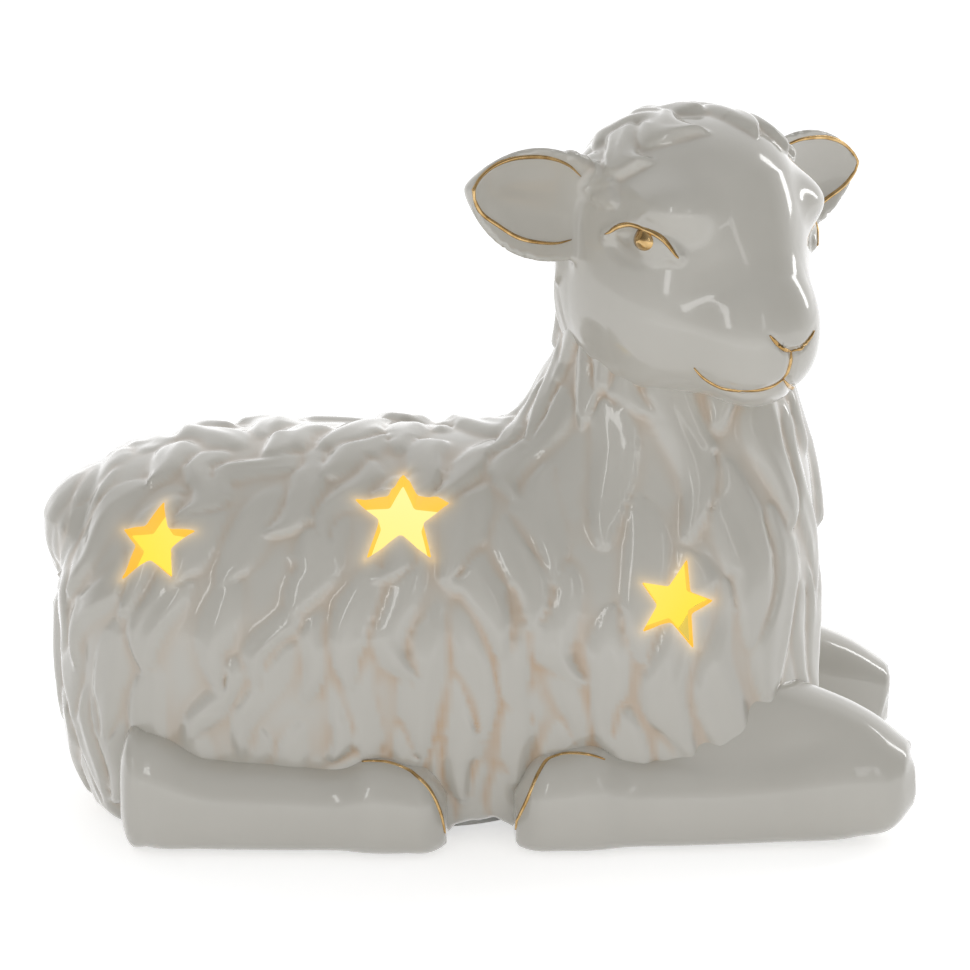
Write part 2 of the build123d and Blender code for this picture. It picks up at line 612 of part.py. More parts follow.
def light_housing():
    outer = [
        (0, UNIT_BOTTOM),
        (FLANGE_DIAMETER / 2, UNIT_BOTTOM),
        (FLANGE_DIAMETER / 2, FOOT_RECESS),
        (BARREL_RADIUS, FOOT_RECESS),
        (BARREL_RADIUS, BARREL_TOP),
        (BARREL_RADIUS - BARREL_WALL, BARREL_TOP),
        (BARREL_RADIUS - BARREL_WALL, FOOT_RECESS),
        (0, FOOT_RECESS),
    ]
    cup = turned(outer, UNIT_AXIS)
    inside = disc(UNIT_AXIS, BARREL_RADIUS - BARREL_WALL / 2, UNIT_BOTTOM, BARREL_TOP)
    screw_top = UNIT_BOTTOM + DOOR_EAR_THICKNESS + SCREW_ENGAGED + SCREW_POST_WALL
    post_radius = DOOR_EAR_RADIUS + DOOR_CLEARANCE + SCREW_POST_WALL
    features = disc(WELL_AXIS, WELL_OUTER, FOOT_RECESS, ROOF_TOP)
    features += disc(SCREW_AXIS, post_radius, FOOT_RECESS, screw_top) & inside
    for axis in board_post_axes():
        features += disc(axis, POST_RADIUS, FOOT_RECESS, BOARD_UNDER)
    housing = cup + features
    housing -= disc(WELL_AXIS, WELL_RADIUS, UNIT_BOTTOM - OVERRUN, ROOF_UNDER)
    housing -= door_outline(DOOR_CLEARANCE, UNIT_BOTTOM - OVERRUN, DOOR_TOP)
    ear_top = UNIT_BOTTOM + DOOR_EAR_THICKNESS + DOOR_CLEARANCE
    housing -= disc(SCREW_AXIS, DOOR_EAR_RADIUS + DOOR_CLEARANCE, UNIT_BOTTOM - OVERRUN, ear_top)
    housing -= disc(SCREW_AXIS, SCREW_RADIUS + SCREW_CLEARANCE, UNIT_BOTTOM, screw_top + OVERRUN)
    notch_y = DOOR_HINGE_Y + DOOR_MARGIN / 2
    notch_width = DOOR_TAB_WIDTH + 2 * DOOR_CLEARANCE
    housing -= block(WELL_AXIS.X, notch_y, notch_width, DOOR_MARGIN, UNIT_BOTTOM - OVERRUN, DOOR_TOP)
    housing -= tab_space(DOOR_CLEARANCE, DOOR_HINGE_Z, DOOR_HINGE_Z + DOOR_TAB_SWING, DOOR_TAB_REACH + DOOR_CLEARANCE)
    for axis in board_post_axes():
        housing -= disc(axis, BOARD_SCREW_RADIUS + SLIP_JOINT, BOARD_TOP - BOARD_SCREW_LENGTH, BOARD_UNDER + OVERRUN)
    for window in contact_windows():
        housing -= window
    slot_width = SLIDER_WIDTH + 2 * SLIDER_CLEARANCE
    slot_length = SLIDER_LENGTH + SLIDER_TRAVEL + 2 * SLIDER_CLEARANCE
    housing -= block(LIGHT_X + SWITCH_X, 0, slot_width, slot_length, UNIT_BOTTOM - OVERRUN, FOOT_RECESS + OVERRUN)
    return housing


def lens_dome():
    """A frosted dome that plugs into the top of the barrel and spreads the light."""
    skirt = BARREL_RADIUS - BARREL_WALL - SLIP_JOINT
    rim_top = BARREL_TOP + DOME_WALL
    outer_radius = skirt - DOME_WALL / 2
    cap = (outer_radius**2 + DOME_HEIGHT**2) / (2 * DOME_HEIGHT)
    peak = rim_top + DOME_HEIGHT
    ball = Pos(0, 0, peak - cap) * Sphere(cap)
    hollow = Pos(0, 0, peak - cap) * Sphere(cap - DOME_WALL)
    above_rim = disc(Vector(0, 0, 0), outer_radius, rim_top, peak + OVERRUN)
    above_rim_inside = disc(Vector(0, 0, 0), skirt - DOME_WALL, rim_top - OVERRUN, peak + OVERRUN)
    rim = disc(Vector(0, 0, 0), BARREL_RADIUS, BARREL_TOP, rim_top)
    plug = disc(Vector(0, 0, 0), skirt, BARREL_TOP - DOME_SKIRT, BARREL_TOP)
    bore = disc(Vector(0, 0, 0), skirt - DOME_WALL, BARREL_TOP - DOME_SKIRT - OVERRUN, rim_top)
    shell = (ball & above_rim) + rim + plug
    return Pos(LIGHT_X, 0, 0) * (shell - (hollow & above_rim_inside) - bore)


def coin_cell(low_z):
    """One lithium coin cell: the wide can below, the stepped cap above."""
    cap_z = low_z + CELL_THICKNESS - CELL_CAP_STEP
    outline = [
        (0, low_z),
        (CELL_RADIUS - CELL_EDGE, low_z),
        (CELL_RADIUS, low_z + CELL_EDGE),
        (CELL_RADIUS, cap_z),
        (CELL_CAP_DIAMETER / 2, cap_z),
        (CELL_CAP_DIAMETER / 2, low_z + CELL_THICKNESS),
        (0, low_z + CELL_THICKNESS),
    ]
    return turned(outline, WELL_AXIS)


def battery_door():
    door = door_outline(0, UNIT_BOTTOM, DOOR_TOP)
    door += disc(WELL_AXIS, CELL_RADIUS, DOOR_TOP, CELL_FLOOR)
    door += disc(SCREW_AXIS, DOOR_EAR_RADIUS, UNIT_BOTTOM, UNIT_BOTTOM + DOOR_EAR_THICKNESS)
    relief_depth = DOOR_RELIEF - DOOR_CLEARANCE
    relief_y = -DOOR_RADIUS + relief_depth / 2
    door -= block(WELL_AXIS.X, relief_y, DOOR_RADIUS, relief_depth, UNIT_BOTTOM - OVERRUN, DOOR_TOP)
    tab_low = DOOR_HINGE_Z + SLIP_JOINT / 2
    door += tab_space(0, tab_low, DOOR_TOP, DOOR_TAB_REACH)
    door -= disc(WELL_AXIS, CELL_RADIUS, CELL_FLOOR, CELL_FLOOR + OVERRUN)
    door -= disc(SCREW_AXIS, SCREW_RADIUS + SCREW_CLEARANCE, UNIT_BOTTOM - OVERRUN, CELL_FLOOR + OVERRUN)
    bore_top = UNIT_BOTTOM + SCREW_HEAD_HEIGHT + SLIP_JOINT
    door -= disc(SCREW_AXIS, SCREW_HEAD_RADIUS + SCREW_CLEARANCE, UNIT_BOTTOM - OVERRUN, bore_top)
    return door


def cross_recess(axis, low_z):
    """The crossed driver recess in a screw head that faces down."""
    top = low_z + CROSS_DEPTH
    bottom = low_z - OVERRUN
    one = block(axis.X, axis.Y, CROSS_LENGTH, CROSS_WIDTH, bottom, top)
    two = block(axis.X, axis.Y, CROSS_WIDTH, CROSS_LENGTH, bottom, top)
    return one + two


def door_screw():
    head_top = UNIT_BOTTOM + SCREW_HEAD_HEIGHT
    tip = UNIT_BOTTOM + DOOR_EAR_THICKNESS + SCREW_ENGAGED
    screw = disc(SCREW_AXIS, SCREW_HEAD_RADIUS, UNIT_BOTTOM, head_top)
    screw += disc(SCREW_AXIS, SCREW_RADIUS, head_top, tip)
    return screw - cross_recess(SCREW_AXIS, UNIT_BOTTOM)


def positive_contact():
    """A strip that bears on the rim of the lower cell and comes out to the board."""
    inner_x = WELL_AXIS.X + math.sqrt(CELL_RADIUS**2 - (STRIP_ASIDE - STRIP_WIDTH / 2) ** 2) + SLIP_JOINT
    low_z = CELL_FLOOR + STRIP_CLEARANCE
    tab_z = BOARD_TOP + SLIP_JOINT
    top_z = tab_z + STRIP_THICKNESS
    strip = block(inner_x + STRIP_THICKNESS / 2, -STRIP_ASIDE, STRIP_THICKNESS, STRIP_WIDTH, low_z, top_z)
    end_x = WELL_AXIS.X + WELL_OUTER + STRIP_TAB
    tab = block((inner_x + end_x) / 2, -STRIP_ASIDE, end_x - inner_x, STRIP_WIDTH, tab_z, top_z)
    return strip + tab


def negative_contact():
    """A bowed leaf that presses on the cap of the upper cell and comes out to the board."""
    low = CELL_TOP + SLIP_JOINT
    high = ROOF_UNDER - SLIP_JOINT
    start_x = WELL_AXIS.X - CELL_RADIUS / 2
    touch_x = WELL_AXIS.X
    lift_x = WELL_AXIS.X + CELL_RADIUS / 2
    end_x = WELL_AXIS.X + WELL_OUTER + STRIP_TAB
    upper_arc = ThreePointArc((start_x, high), (touch_x, low + STRIP_THICKNESS), (lift_x, high))
    lower_arc = ThreePointArc((start_x, high - STRIP_THICKNESS), (touch_x, low), (lift_x, high - STRIP_THICKNESS))
    ends = [
        Line(upper_arc @ 0, lower_arc @ 0),
        Line(upper_arc @ 1, lower_arc @ 1),
    ]
    bow = extrude(make_face([upper_arc, lower_arc, *ends]), STRIP_WIDTH / 2, both=True)
    bow = Pos(0, STRIP_ASIDE, 0) * Rot(X=90) * bow
    tab = block((lift_x + end_x) / 2, STRIP_ASIDE, end_x - lift_x, STRIP_WIDTH, high - STRIP_THICKNESS, high)
    leg_low = BOARD_TOP + SLIP_JOINT
    leg = block(end_x - STRIP_THICKNESS / 2, STRIP_ASIDE, STRIP_THICKNESS, STRIP_WIDTH, leg_low, high)
    return bow + tab + leg


def circuit_board():
    """A crescent of board beside the well, on two posts."""
    board = disc(UNIT_AXIS, BOARD_DIAMETER / 2, BOARD_UNDER, BOARD_TOP)
    board -= disc(WELL_AXIS, WELL_OUTER + BOARD_CLEARANCE, BOARD_UNDER - OVERRUN, BOARD_TOP + OVERRUN)
    post_radius = DOOR_EAR_RADIUS + DOOR_CLEARANCE + SCREW_POST_WALL + BOARD_CLEARANCE
    board -= block(WELL_AXIS.X - FAR / 2, 0, FAR, FAR, BOARD_UNDER - OVERRUN, BOARD_TOP + OVERRUN)
    board -= disc(SCREW_AXIS, post_radius, BOARD_UNDER - OVERRUN, BOARD_TOP + OVERRUN)
    for axis in board_post_axes():
        board -= disc(axis, BOARD_SCREW_RADIUS + SLIP_JOINT, BOARD_UNDER - OVERRUN, BOARD_TOP + OVERRUN)
    return board


def board_screws():
    screws = []
    for axis in board_post_axes():
        shank_low = BOARD_TOP - BOARD_SCREW_LENGTH + SLIP_JOINT
        head_top = BOARD_TOP + BOARD_SCREW_HEAD_HEIGHT
        screw = disc(axis, BOARD_SCREW_RADIUS, shank_low, BOARD_TOP)
        screw += disc(axis, BOARD_SCREW_HEAD_RADIUS, BOARD_TOP, head_top)
        screws.append(screw.solid())
    return Compound(screws)


def leds():
    """Two warm lamps on tall leads."""
    lamps = []
    for side in (-1, 1):
        axis = UNIT_AXIS + Vector(LED_LEAD_X, side * LED_ASIDE, 0)
        rim_low = BOARD_TOP + LED_LEAD_LENGTH
        body_top = rim_low + LED_RIM_HEIGHT + LED_BODY_HEIGHT
        lamp = disc(axis, LED_RIM_RADIUS, rim_low, rim_low + LED_RIM_HEIGHT)
        lamp += disc(axis, LED_RADIUS, rim_low + LED_RIM_HEIGHT, body_top)
        lamp += Pos(axis.X, axis.Y, body_top) * Sphere(LED_RADIUS)
        for lead in (-1, 1):
            lead_y = axis.Y + lead * LED_LEAD_PITCH / 2
            lamp += block(axis.X, lead_y, LED_LEAD_WIDTH, LED_LEAD_WIDTH, BOARD_TOP, rim_low)
        lamps.append(lamp.solid())
    return Compound(lamps)


def resistor():
    centre = Vector(LIGHT_X + RESISTOR_X, 0, BOARD_TOP + RESISTOR_RAISE + RESISTOR_RADIUS)
    body = Pos(*centre) * Rot(X=90) * Cylinder(RESISTOR_RADIUS, RESISTOR_LENGTH)
    lead_span = RESISTOR_LENGTH / 2 + RESISTOR_LEAD_REACH
    body += Pos(*centre) * Rot(X=90) * Cylinder(RESISTOR_LEAD_RADIUS, 2 * lead_span)
    for side in (-1, 1):
        foot = Vector(centre.X, side * lead_span, 0)
        body += disc(foot, RESISTOR_LEAD_RADIUS, BOARD_TOP, centre.Z + RESISTOR_LEAD_RADIUS)
    return body


def switch_body():
    low_z = BOARD_UNDER - SWITCH_HEIGHT
    can = block(LIGHT_X + SWITCH_X, 0, SWITCH_WIDTH, SWITCH_LENGTH, low_z, BOARD_UNDER)
    slot_width = SLIDER_WIDTH + 2 * SLIDER_CLEARANCE
    slot_length = SLIDER_LENGTH + SLIDER_TRAVEL + 2 * SLIDER_CLEARANCE
    slot_top = SLIDER_TOP + SLIDER_CLEARANCE
    return can - block(LIGHT_X + SWITCH_X, 0, slot_width, slot_length, low_z - OVERRUN, slot_top)


def switch_slider():
    """The finger slide, at the off end of its slot, with a ribbed face."""
    centre_y = -SLIDER_TRAVEL / 2
    low_z = UNIT_BOTTOM - SLIDER_PROUD
    slider = block(LIGHT_X + SWITCH_X, centre_y, SLIDER_WIDTH, SLIDER_LENGTH, low_z, SLIDER_TOP)
    pitch = SLIDER_LENGTH / (SLIDER_GRIP_COUNT + 1)
    for groove in range(SLIDER_GRIP_COUNT):
        groove_y = centre_y - SLIDER_LENGTH / 2 + (groove + 1) * pitch
        groove_top = low_z + SLIDER_GRIP_DEPTH
        slider -= block(
            LIGHT_X + SWITCH_X, groove_y, SLIDER_WIDTH + OVERRUN, pitch / 2, low_z - OVERRUN, groove_top
        )
    return slider


def main():
    body_cutter = body_form(-SLIP_JOINT)
    head_cutter = head_form(-SLIP_JOINT) + forelock_form(-SLIP_JOINT)
    ear = right_ear()
    foreleg = right_foreleg()
    hindleg = right_hindleg()
    head_mirror = Plane(origin=HEAD_CENTRE, x_dir=HEAD_PLANE.x_dir, z_dir=HEAD_PLANE.y_dir)
    nodes = {
        "fleece_body": fleece_body(),
        "head": head(body_cutter),
        "right_ear": ear - head_cutter,
        "left_ear": mirror(ear, about=head_mirror) - head_cutter,
        "right_foreleg": foreleg - body_cutter,
        "left_foreleg": mirror(foreleg, about=Plane.XZ) - body_cutter,
        "right_hindleg": hindleg - body_cutter,
        "left_hindleg": mirror(hindleg, about=Plane.XZ) - body_cutter,
        "tail": tail(body_cutter),
        "grip_ring": grip_ring(),
        "light_housing": light_housing(),
        "lens_dome": lens_dome(),
        "lower_coin_cell": coin_cell(CELL_FLOOR),
        "upper_coin_cell": coin_cell(CELL_FLOOR + CELL_THICKNESS),
        "battery_door": battery_door(),
        "door_screw": door_screw(),
        "positive_contact": positive_contact(),
        "negative_contact": negative_contact(),
        "circuit_board": circuit_board(),
        "board_screws": board_screws(),
        "leds": leds(),
        "resistor": resistor(),
        "switch_body": switch_body(),
        "switch_slider": switch_slider(),
    }
    os.makedirs("parts", exist_ok=True)
    for name, shape in nodes.items():
        export_step(shape, f"parts/{name}.step")


main()
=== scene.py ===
# %% [markdown]
# # A porcelain lamb with lit stars
# The lamb is slip-cast porcelain: a hollow fleece body, a turned head, four folded legs, a clear glaze and
# fired gold lines. This lesson sculpts it with distance fields: a form is a function that is negative inside
# the clay and positive outside, and forms melt together where a modeller would smooth clay with a thumb. It
# could be shaped with brushes in sculpt mode too; with fields, every size is a number that can be read.

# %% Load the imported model
import math

import bmesh
import bpy
import numpy as np
import openvdb
from mathutils.bvhtree import BVHTree
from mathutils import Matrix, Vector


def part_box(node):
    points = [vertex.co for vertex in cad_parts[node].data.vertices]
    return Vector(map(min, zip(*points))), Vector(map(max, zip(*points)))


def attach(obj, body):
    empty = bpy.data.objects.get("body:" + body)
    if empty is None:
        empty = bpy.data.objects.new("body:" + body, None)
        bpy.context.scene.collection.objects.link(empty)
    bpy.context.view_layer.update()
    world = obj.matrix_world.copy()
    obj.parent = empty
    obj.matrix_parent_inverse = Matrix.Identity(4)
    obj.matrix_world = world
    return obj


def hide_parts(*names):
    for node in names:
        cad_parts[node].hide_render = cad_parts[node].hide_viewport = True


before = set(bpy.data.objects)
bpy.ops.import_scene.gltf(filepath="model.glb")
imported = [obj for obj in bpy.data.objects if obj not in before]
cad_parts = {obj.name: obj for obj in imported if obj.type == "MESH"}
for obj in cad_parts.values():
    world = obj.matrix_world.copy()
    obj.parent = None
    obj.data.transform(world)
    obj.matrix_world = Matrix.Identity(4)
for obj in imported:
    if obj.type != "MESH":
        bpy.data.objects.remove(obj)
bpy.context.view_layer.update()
MM = 0.001  # metres in a millimetre
UP = np.array([0.0, 0.0, 1.0])
print("loaded", len(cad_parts), "nodes")


# %% [markdown]
# ## Clay forms
# Each helper takes points in millimetres and gives a distance. A super-egg is an egg whose power makes it
# boxier or more pointed. A limb is a tapered rod with round ends, and a bar has an oval section at each of
# its stations. Melt joins two forms with a soft fillet, and scoop takes one away. Joined meshes would need
# their seams remodelled; here a seam is one number.

# %% Eggs and limbs
TINY, SLIVER = 1e-9, 1e-6  # keep divisions and signs safe


def super_egg(p, centre, radii, power=2.0):
    q = np.abs(p - np.asarray(centre)) / np.asarray(radii)
    size = np.sum(q**power, axis=1) ** (1 / power) + TINY
    slope = (q / size[:, None]) ** (power - 1) / np.asarray(radii)
    return (size - 1) / (np.linalg.norm(slope, axis=1) + TINY)


def limb(p, start, end, start_radius, end_radius):
    start, end = np.asarray(start, float), np.asarray(end, float)
    run = end - start
    t = np.clip(((p - start) @ run) / (run @ run), 0, 1)
    return np.linalg.norm(p - start - t[:, None] * run, axis=1) - (start_radius + t * (end_radius - start_radius))


print("12 mm from the middle of a 10 mm egg:", super_egg(np.array([[12.0, 0, 0]]), 0, (10, 10, 10)), "mm out")


# %% Bars
def ease(x, places, values):
    """A smooth curve through listed stations."""
    places, values = np.asarray(places, float), np.asarray(values, float)
    slopes = np.gradient(values, places)
    i = np.clip(np.searchsorted(places, x) - 1, 0, len(places) - 2)
    gap = places[i + 1] - places[i]
    t = np.clip((x - places[i]) / gap, 0, 1)
    start = (2 * t**3 - 3 * t**2 + 1) * values[i] + (t**3 - 2 * t**2 + t) * gap * slopes[i]
    return start + (3 * t**2 - 2 * t**3) * values[i + 1] + (t**3 - t**2) * gap * slopes[i + 1]


def bar(p, origin, along, side, up, stations, power=2.3):
    """Stations are rows of place along the bar, centre height, half width, rise and drop."""
    rel = p - np.asarray(origin, float)
    u, v, w = rel @ along, rel @ side, rel @ up
    table = np.array(stations, float)
    at = np.clip(u, table[0, 0], table[-1, 0])
    centre, half, rise, drop = (ease(at, table[:, 0], table[:, k]) for k in range(1, 5))
    reach = np.where(w > centre, rise, drop)
    a, b = np.abs(v) / half, np.abs(w - centre) / reach
    size = (a**power + b**power) ** (1 / power) + TINY
    slope = np.hypot((a / size) ** (power - 1) / half, (b / size) ** (power - 1) / reach)
    return np.maximum((size - 1) / (slope + TINY), np.maximum(table[0, 0] - u, u - table[-1, 0]))


print("half way between 0 and 2:", ease(np.array([0.5]), [0, 1], [0, 2]))


# %% Melt, scoop and settle
def melt(a, b, softness):
    t = np.clip(0.5 + 0.5 * (b - a) / softness, 0, 1)
    return b + t * (a - b) - softness * t * (1 - t)


def scoop(a, b, softness):
    return -melt(-a, b, softness)


def fold_sides(p):
    """Fold both sides of the lamb onto one, for forms that come in pairs."""
    return p * np.array([1.0, 0, 1.0]) + np.abs(p) * np.array([0, 1.0, 0])


def slope_of(form, p, step=0.05):
    here = form(p)
    rise = [form(p + step * axis) - here for axis in np.eye(3)]
    return here, np.stack(rise, axis=1) / step


def settle(form, p, rounds=3):
    """Move points onto the skin of a form."""
    for _ in range(rounds):
        here, slope = slope_of(form, p)
        step = slope * (here / (np.sum(slope**2, axis=1) + TINY))[:, None]
        p = p - np.clip(step, -2, 2)
    return p


print("two skins that meet melt", -melt(np.zeros(1), np.zeros(1), 4.0)[0], "mm outwards")


# %% [markdown]
# ## From field to mesh
# The mesh is the cast skin. Metaballs or a remesh modifier could make one, but evenly fine everywhere. Here a
# grid of samples becomes quads with the volume tools, a subdivision surface makes the quads finer, and the
# finer points settle back onto the field. Only the coarse grid costs memory, so fine relief stays cheap.

# %% Read and write meshes
def make_piece(name, points, faces):
    mesh = bpy.data.meshes.new(name)
    mesh.from_pydata((np.asarray(points) * MM).tolist(), [], [list(map(int, face)) for face in faces])
    mesh.update()
    piece = bpy.data.objects.new(name, mesh)
    bpy.context.scene.collection.objects.link(piece)
    return piece


def apply_modifiers(piece):
    graph = bpy.context.evaluated_depsgraph_get()
    mesh = bpy.data.meshes.new_from_object(piece.evaluated_get(graph))
    old = piece.data
    piece.modifiers.clear()
    piece.data = mesh
    bpy.data.meshes.remove(old)
    mesh.name = piece.name


def read_vectors(piece, kind):
    flat = np.empty(3 * len(piece.data.vertices))
    piece.data.vertices.foreach_get(kind, flat)
    return flat.reshape(-1, 3)


def read_points(piece):
    return read_vectors(piece, "co") / MM


def read_normals(piece):
    return read_vectors(piece, "normal")


def write_points(piece, points):
    piece.data.vertices.foreach_set("co", (points * MM).ravel())
    piece.data.update()


def read_edges(piece):
    flat = np.empty(2 * len(piece.data.edges), dtype=np.int64)
    piece.data.edges.foreach_get("vertices", flat)
    return flat.reshape(-1, 2)


print("forms are in millimetres and meshes in metres, 1 to", MM)


# %% Mould a form
def face_outwards(piece):
    bm = bmesh.new()
    bm.from_mesh(piece.data)
    bmesh.ops.recalc_face_normals(bm, faces=bm.faces)
    bm.to_mesh(piece.data)
    bm.free()


def mould(name, form, low, high, step, levels):
    low, high = np.asarray(low, float), np.asarray(high, float)
    counts = np.ceil((high - low) / step).astype(int) + 1
    axes = [low[i] + step * np.arange(counts[i]) for i in range(3)]
    grid = np.stack(np.meshgrid(*axes, indexing="ij"), axis=-1).reshape(-1, 3)
    volume = openvdb.FloatGrid(3 * step)
    volume.copyFromArray(form(grid).reshape(counts).astype(np.float32))
    points, quads = volume.convertToQuads(0.0)
    points = settle(form, low + points * step)
    piece = make_piece(name, points, quads)
    face_outwards(piece)
    if levels:
        finer = piece.modifiers.new("finer", "SUBSURF")
        finer.levels = finer.render_levels = levels
        apply_modifiers(piece)
        write_points(piece, settle(form, read_points(piece), 2))
    return piece


print("each level makes four quads of one, so two levels make", 4**2)


# %% Soften, store and shade
def soften(values, edges, rounds, share=0.5):
    """Average each value with its neighbours, as a glaze does when it flows."""
    count = len(values)
    degree = np.bincount(edges.ravel(), minlength=count)
    for _ in range(rounds):
        total = np.bincount(edges[:, 0], values[edges[:, 1]], count)
        total += np.bincount(edges[:, 1], values[edges[:, 0]], count)
        values = (1 - share) * values + share * total / np.maximum(degree, 1)
    return values


def store(piece, name, values):
    layer = piece.data.attributes.new(name, "FLOAT", "POINT")
    layer.data.foreach_set("value", np.asarray(values, dtype=np.float32))


def shade_smooth(piece):
    piece.data.polygons.foreach_set("use_smooth", [True] * len(piece.data.polygons))
    piece.data.update()


print("a spike after one round:", soften(np.array([0.0, 1.0, 0.0]), np.array([[0, 1], [1, 2]]), 1))


# %% [markdown]
# ## The body under the fleece
# The trunk is a bar from rump to chest and the chest is a bar that stands up into the neck. They melt
# together. The tail tuft keeps a crease where it lies on the rump. A stretched ball would be quicker, but
# stations follow the outline of the real lamb from place to place.

# %% Body form
TRUNK = [(0, 35.5, 8.5, 8.5, 13.0), (1.9, 36.6, 17.0, 17.4, 23.5), (6.6, 36.2, 24.9, 26.8, 34.4),
         (18, 33.8, 32.0, 34.6, 46.0), (38.4, 32.4, 34.8, 39.2, 50.4), (62.4, 32.4, 35.5, 39.6, 50.4),
         (87.6, 32.4, 33.7, 38.2, 50.4), (108, 32.4, 28.4, 33.8, 49.0), (120, 32.4, 22.0, 25.9, 46.1)]
CHEST = [(-3, 0, 28.8, 29.1, 29.1), (15, 0, 32.0, 30.1, 29.8), (36, 0, 32.0, 30.1, 29.8), (53, 0, 29.4, 29.8, 29.1),
         (67, 0, 24.6, 28.2, 28.5), (77, 0, 21.8, 25.7, 24.8), (87, 0, 19.8, 22.6, 20.2), (102, 0, 18.4, 19.6, 18.4)]
X_AXIS, Y_AXIS = np.array([1.0, 0, 0]), np.array([0, 1.0, 0])
TAIL_BEND = (-70.2, 0, 53.0)


def fleece_form(p):
    trunk = bar(p, (-78, 0, 0), X_AXIS, Y_AXIS, UP, TRUNK)
    chest = bar(p, (35.5, 0, 0), UP, Y_AXIS, X_AXIS, CHEST)
    return melt(trunk, chest, 9)


def tail_form(p):
    q = p * np.array([1.0, 0.72, 1.0])
    upper = limb(q, (-57, 0, 58.5), TAIL_BEND, 8, 11.2)
    lower = limb(q, TAIL_BEND, (-73.0, 0, 45.0), 11.2, 4.8)
    return melt(upper, lower, 3)


def clay_form(p):
    body = melt(fleece_form(p), tail_form(p), 1.2)
    arch = limb(fold_sides(p), (2, 24, -4), (2, 44, -4), 8, 9)
    return scoop(scoop(body, arch, 3.0), p[:, 2], 2.0)


print("trunk", TRUNK[-1][0], "mm long, chest up to", CHEST[-1][0], "mm")

# %% Mould the body
FLEECE_STEP = 3.15  # grid in mm; finer grids pass the limit of triangles
lamb = mould("fleece", clay_form, (-88, -44, -4), (74, 44, 106), FLEECE_STEP, 2)
print("fleece", len(lamb.data.vertices), "points")


# %% [markdown]
# ## Locks of wool
# A real fleece model is carved lock by lock. Each lock here is an almond that rises towards its tip, so tips
# lie over the roots below like shingles. Seeds keep a lock's length apart along the comb and its width across.
# A bump texture could fake this, but not in the outline or in the mesh itself, so the points really move.

# %% Locks
BOW, CURL = 0.34, 0.30  # how far locks sway, in half widths
RIDGES, RIDGE_DEPTH = 2.7, 0.09  # strands along a lock
GROOVE_REACH = 0.18  # how wide a groove is where two locks meet


class Locks:
    """A flock of almond-shaped locks that lie on a skin like shingles."""

    def __init__(self, seeds, normals, along, sizes, rng):
        self.seeds, self.normals, self.along, self.sizes = seeds, normals, along, sizes
        self.across = np.cross(normals, along)
        self.bow, self.curl = rng.normal(0, BOW, len(seeds)), rng.normal(0, CURL, len(seeds))
        self.phase = rng.uniform(0, 2 * np.pi, len(seeds))

    def height(self, points, normals, fill=0.15):
        """Each point belongs to the lock that covers it best; a crease runs where two locks cover it alike."""
        best, second, tall, stripe = (np.zeros(len(points)) for _ in range(4))
        for i, (length, width, rise) in enumerate(self.sizes):
            offset = points - self.seeds[i]
            near = np.nonzero(np.einsum("ij,ij->i", offset, offset) < (0.75 * length) ** 2)[0]
            near = near[normals[near] @ self.normals[i] > 0.2]
            u = offset[near] @ self.along[i] / length + 0.5
            inside = (u > 0) & (u < 1)
            near, u = near[inside], u[inside]
            sway = self.bow[i] * np.sin(np.pi * u) + self.curl[i] * np.sin(2 * np.pi * u)
            t = offset[near] @ self.across[i] / (0.5 * width) - sway
            outline = 1.9 * u**0.55 * (1 - u) ** 0.75
            cover = np.clip(1 - (t / (outline + SLIVER)) ** 2, 0, 1) ** 0.8 * (0.3 + 0.7 * u)
            wins = cover > best[near]
            second[near] = np.where(wins, best[near], np.maximum(second[near], cover))
            best[near[wins]], tall[near[wins]] = cover[wins], rise
            stripe[near[wins]] = np.cos(RIDGES * np.pi * t[wins] + self.phase[i])
        best, tall = np.maximum(best, fill), np.where(tall > 0, tall, np.mean(self.sizes[:, 2]))
        crown = 0.55 * best**0.8 + 0.45 * (1 - np.exp(-np.clip(best - second, 0, None) / GROOVE_REACH))
        return tall * crown * (1 + RIDGE_DEPTH * stripe)


print("locks sway by", BOW, "and", CURL, "of half their width")


# %% Sow and comb
def scatter(points, normals, along, spacing, rng, tries=16000):
    """Pick seeds that keep a lock's length apart along the flow and a lock's width across it."""
    order = rng.permutation(len(points))[:tries]
    across = np.cross(normals, along)
    chosen = []
    for i in order:
        if chosen:
            offset = points[chosen] - points[i]
            run = offset @ along[i] / spacing[i, 0]
            side = offset @ across[i] / spacing[i, 1]
            lift = offset @ normals[i] / spacing[i, 0]
            if np.min(run**2 + side**2 + lift**2) < 1:
                continue
        chosen.append(i)
    return np.array(chosen)


def flow_over(points, normals, lean):
    """Combing direction: down the sides, outwards and back over the spine."""
    steep = np.clip(normals[:, 2], 0, 1)[:, None] ** 3
    none, full = np.zeros(len(points)), np.ones(len(points))
    down = np.stack([lean, none, -full], axis=1)
    spread = np.stack([-0.7 * full, np.sign(points[:, 1] + SLIVER), none], axis=1)
    flow = (1 - steep) * down + steep * spread
    flow -= np.sum(flow * normals, axis=1)[:, None] * normals
    return flow / (np.linalg.norm(flow, axis=1)[:, None] + TINY)


def turn_about(vectors, axes, angles):
    c, s = np.cos(angles)[:, None], np.sin(angles)[:, None]
    return vectors * c + np.cross(axes, vectors) * s


print("on an upright side the comb runs", flow_over(np.zeros((1, 3)), -Y_AXIS[None], np.zeros(1))[0])


# %% [markdown]
# ## Comb the fleece
# The carver changes the locks from place to place: long and broad on the chest, shorter along the spine, and
# leaning with the body. They could be placed by hand one at a time; a seeded draw gives hundreds that differ
# a little and come out the same each run. The whole relief is sunk by its mean, so the carved skin keeps the
# body's size, and it fades at the foot and in the tail's crease, where moved points would fold over.

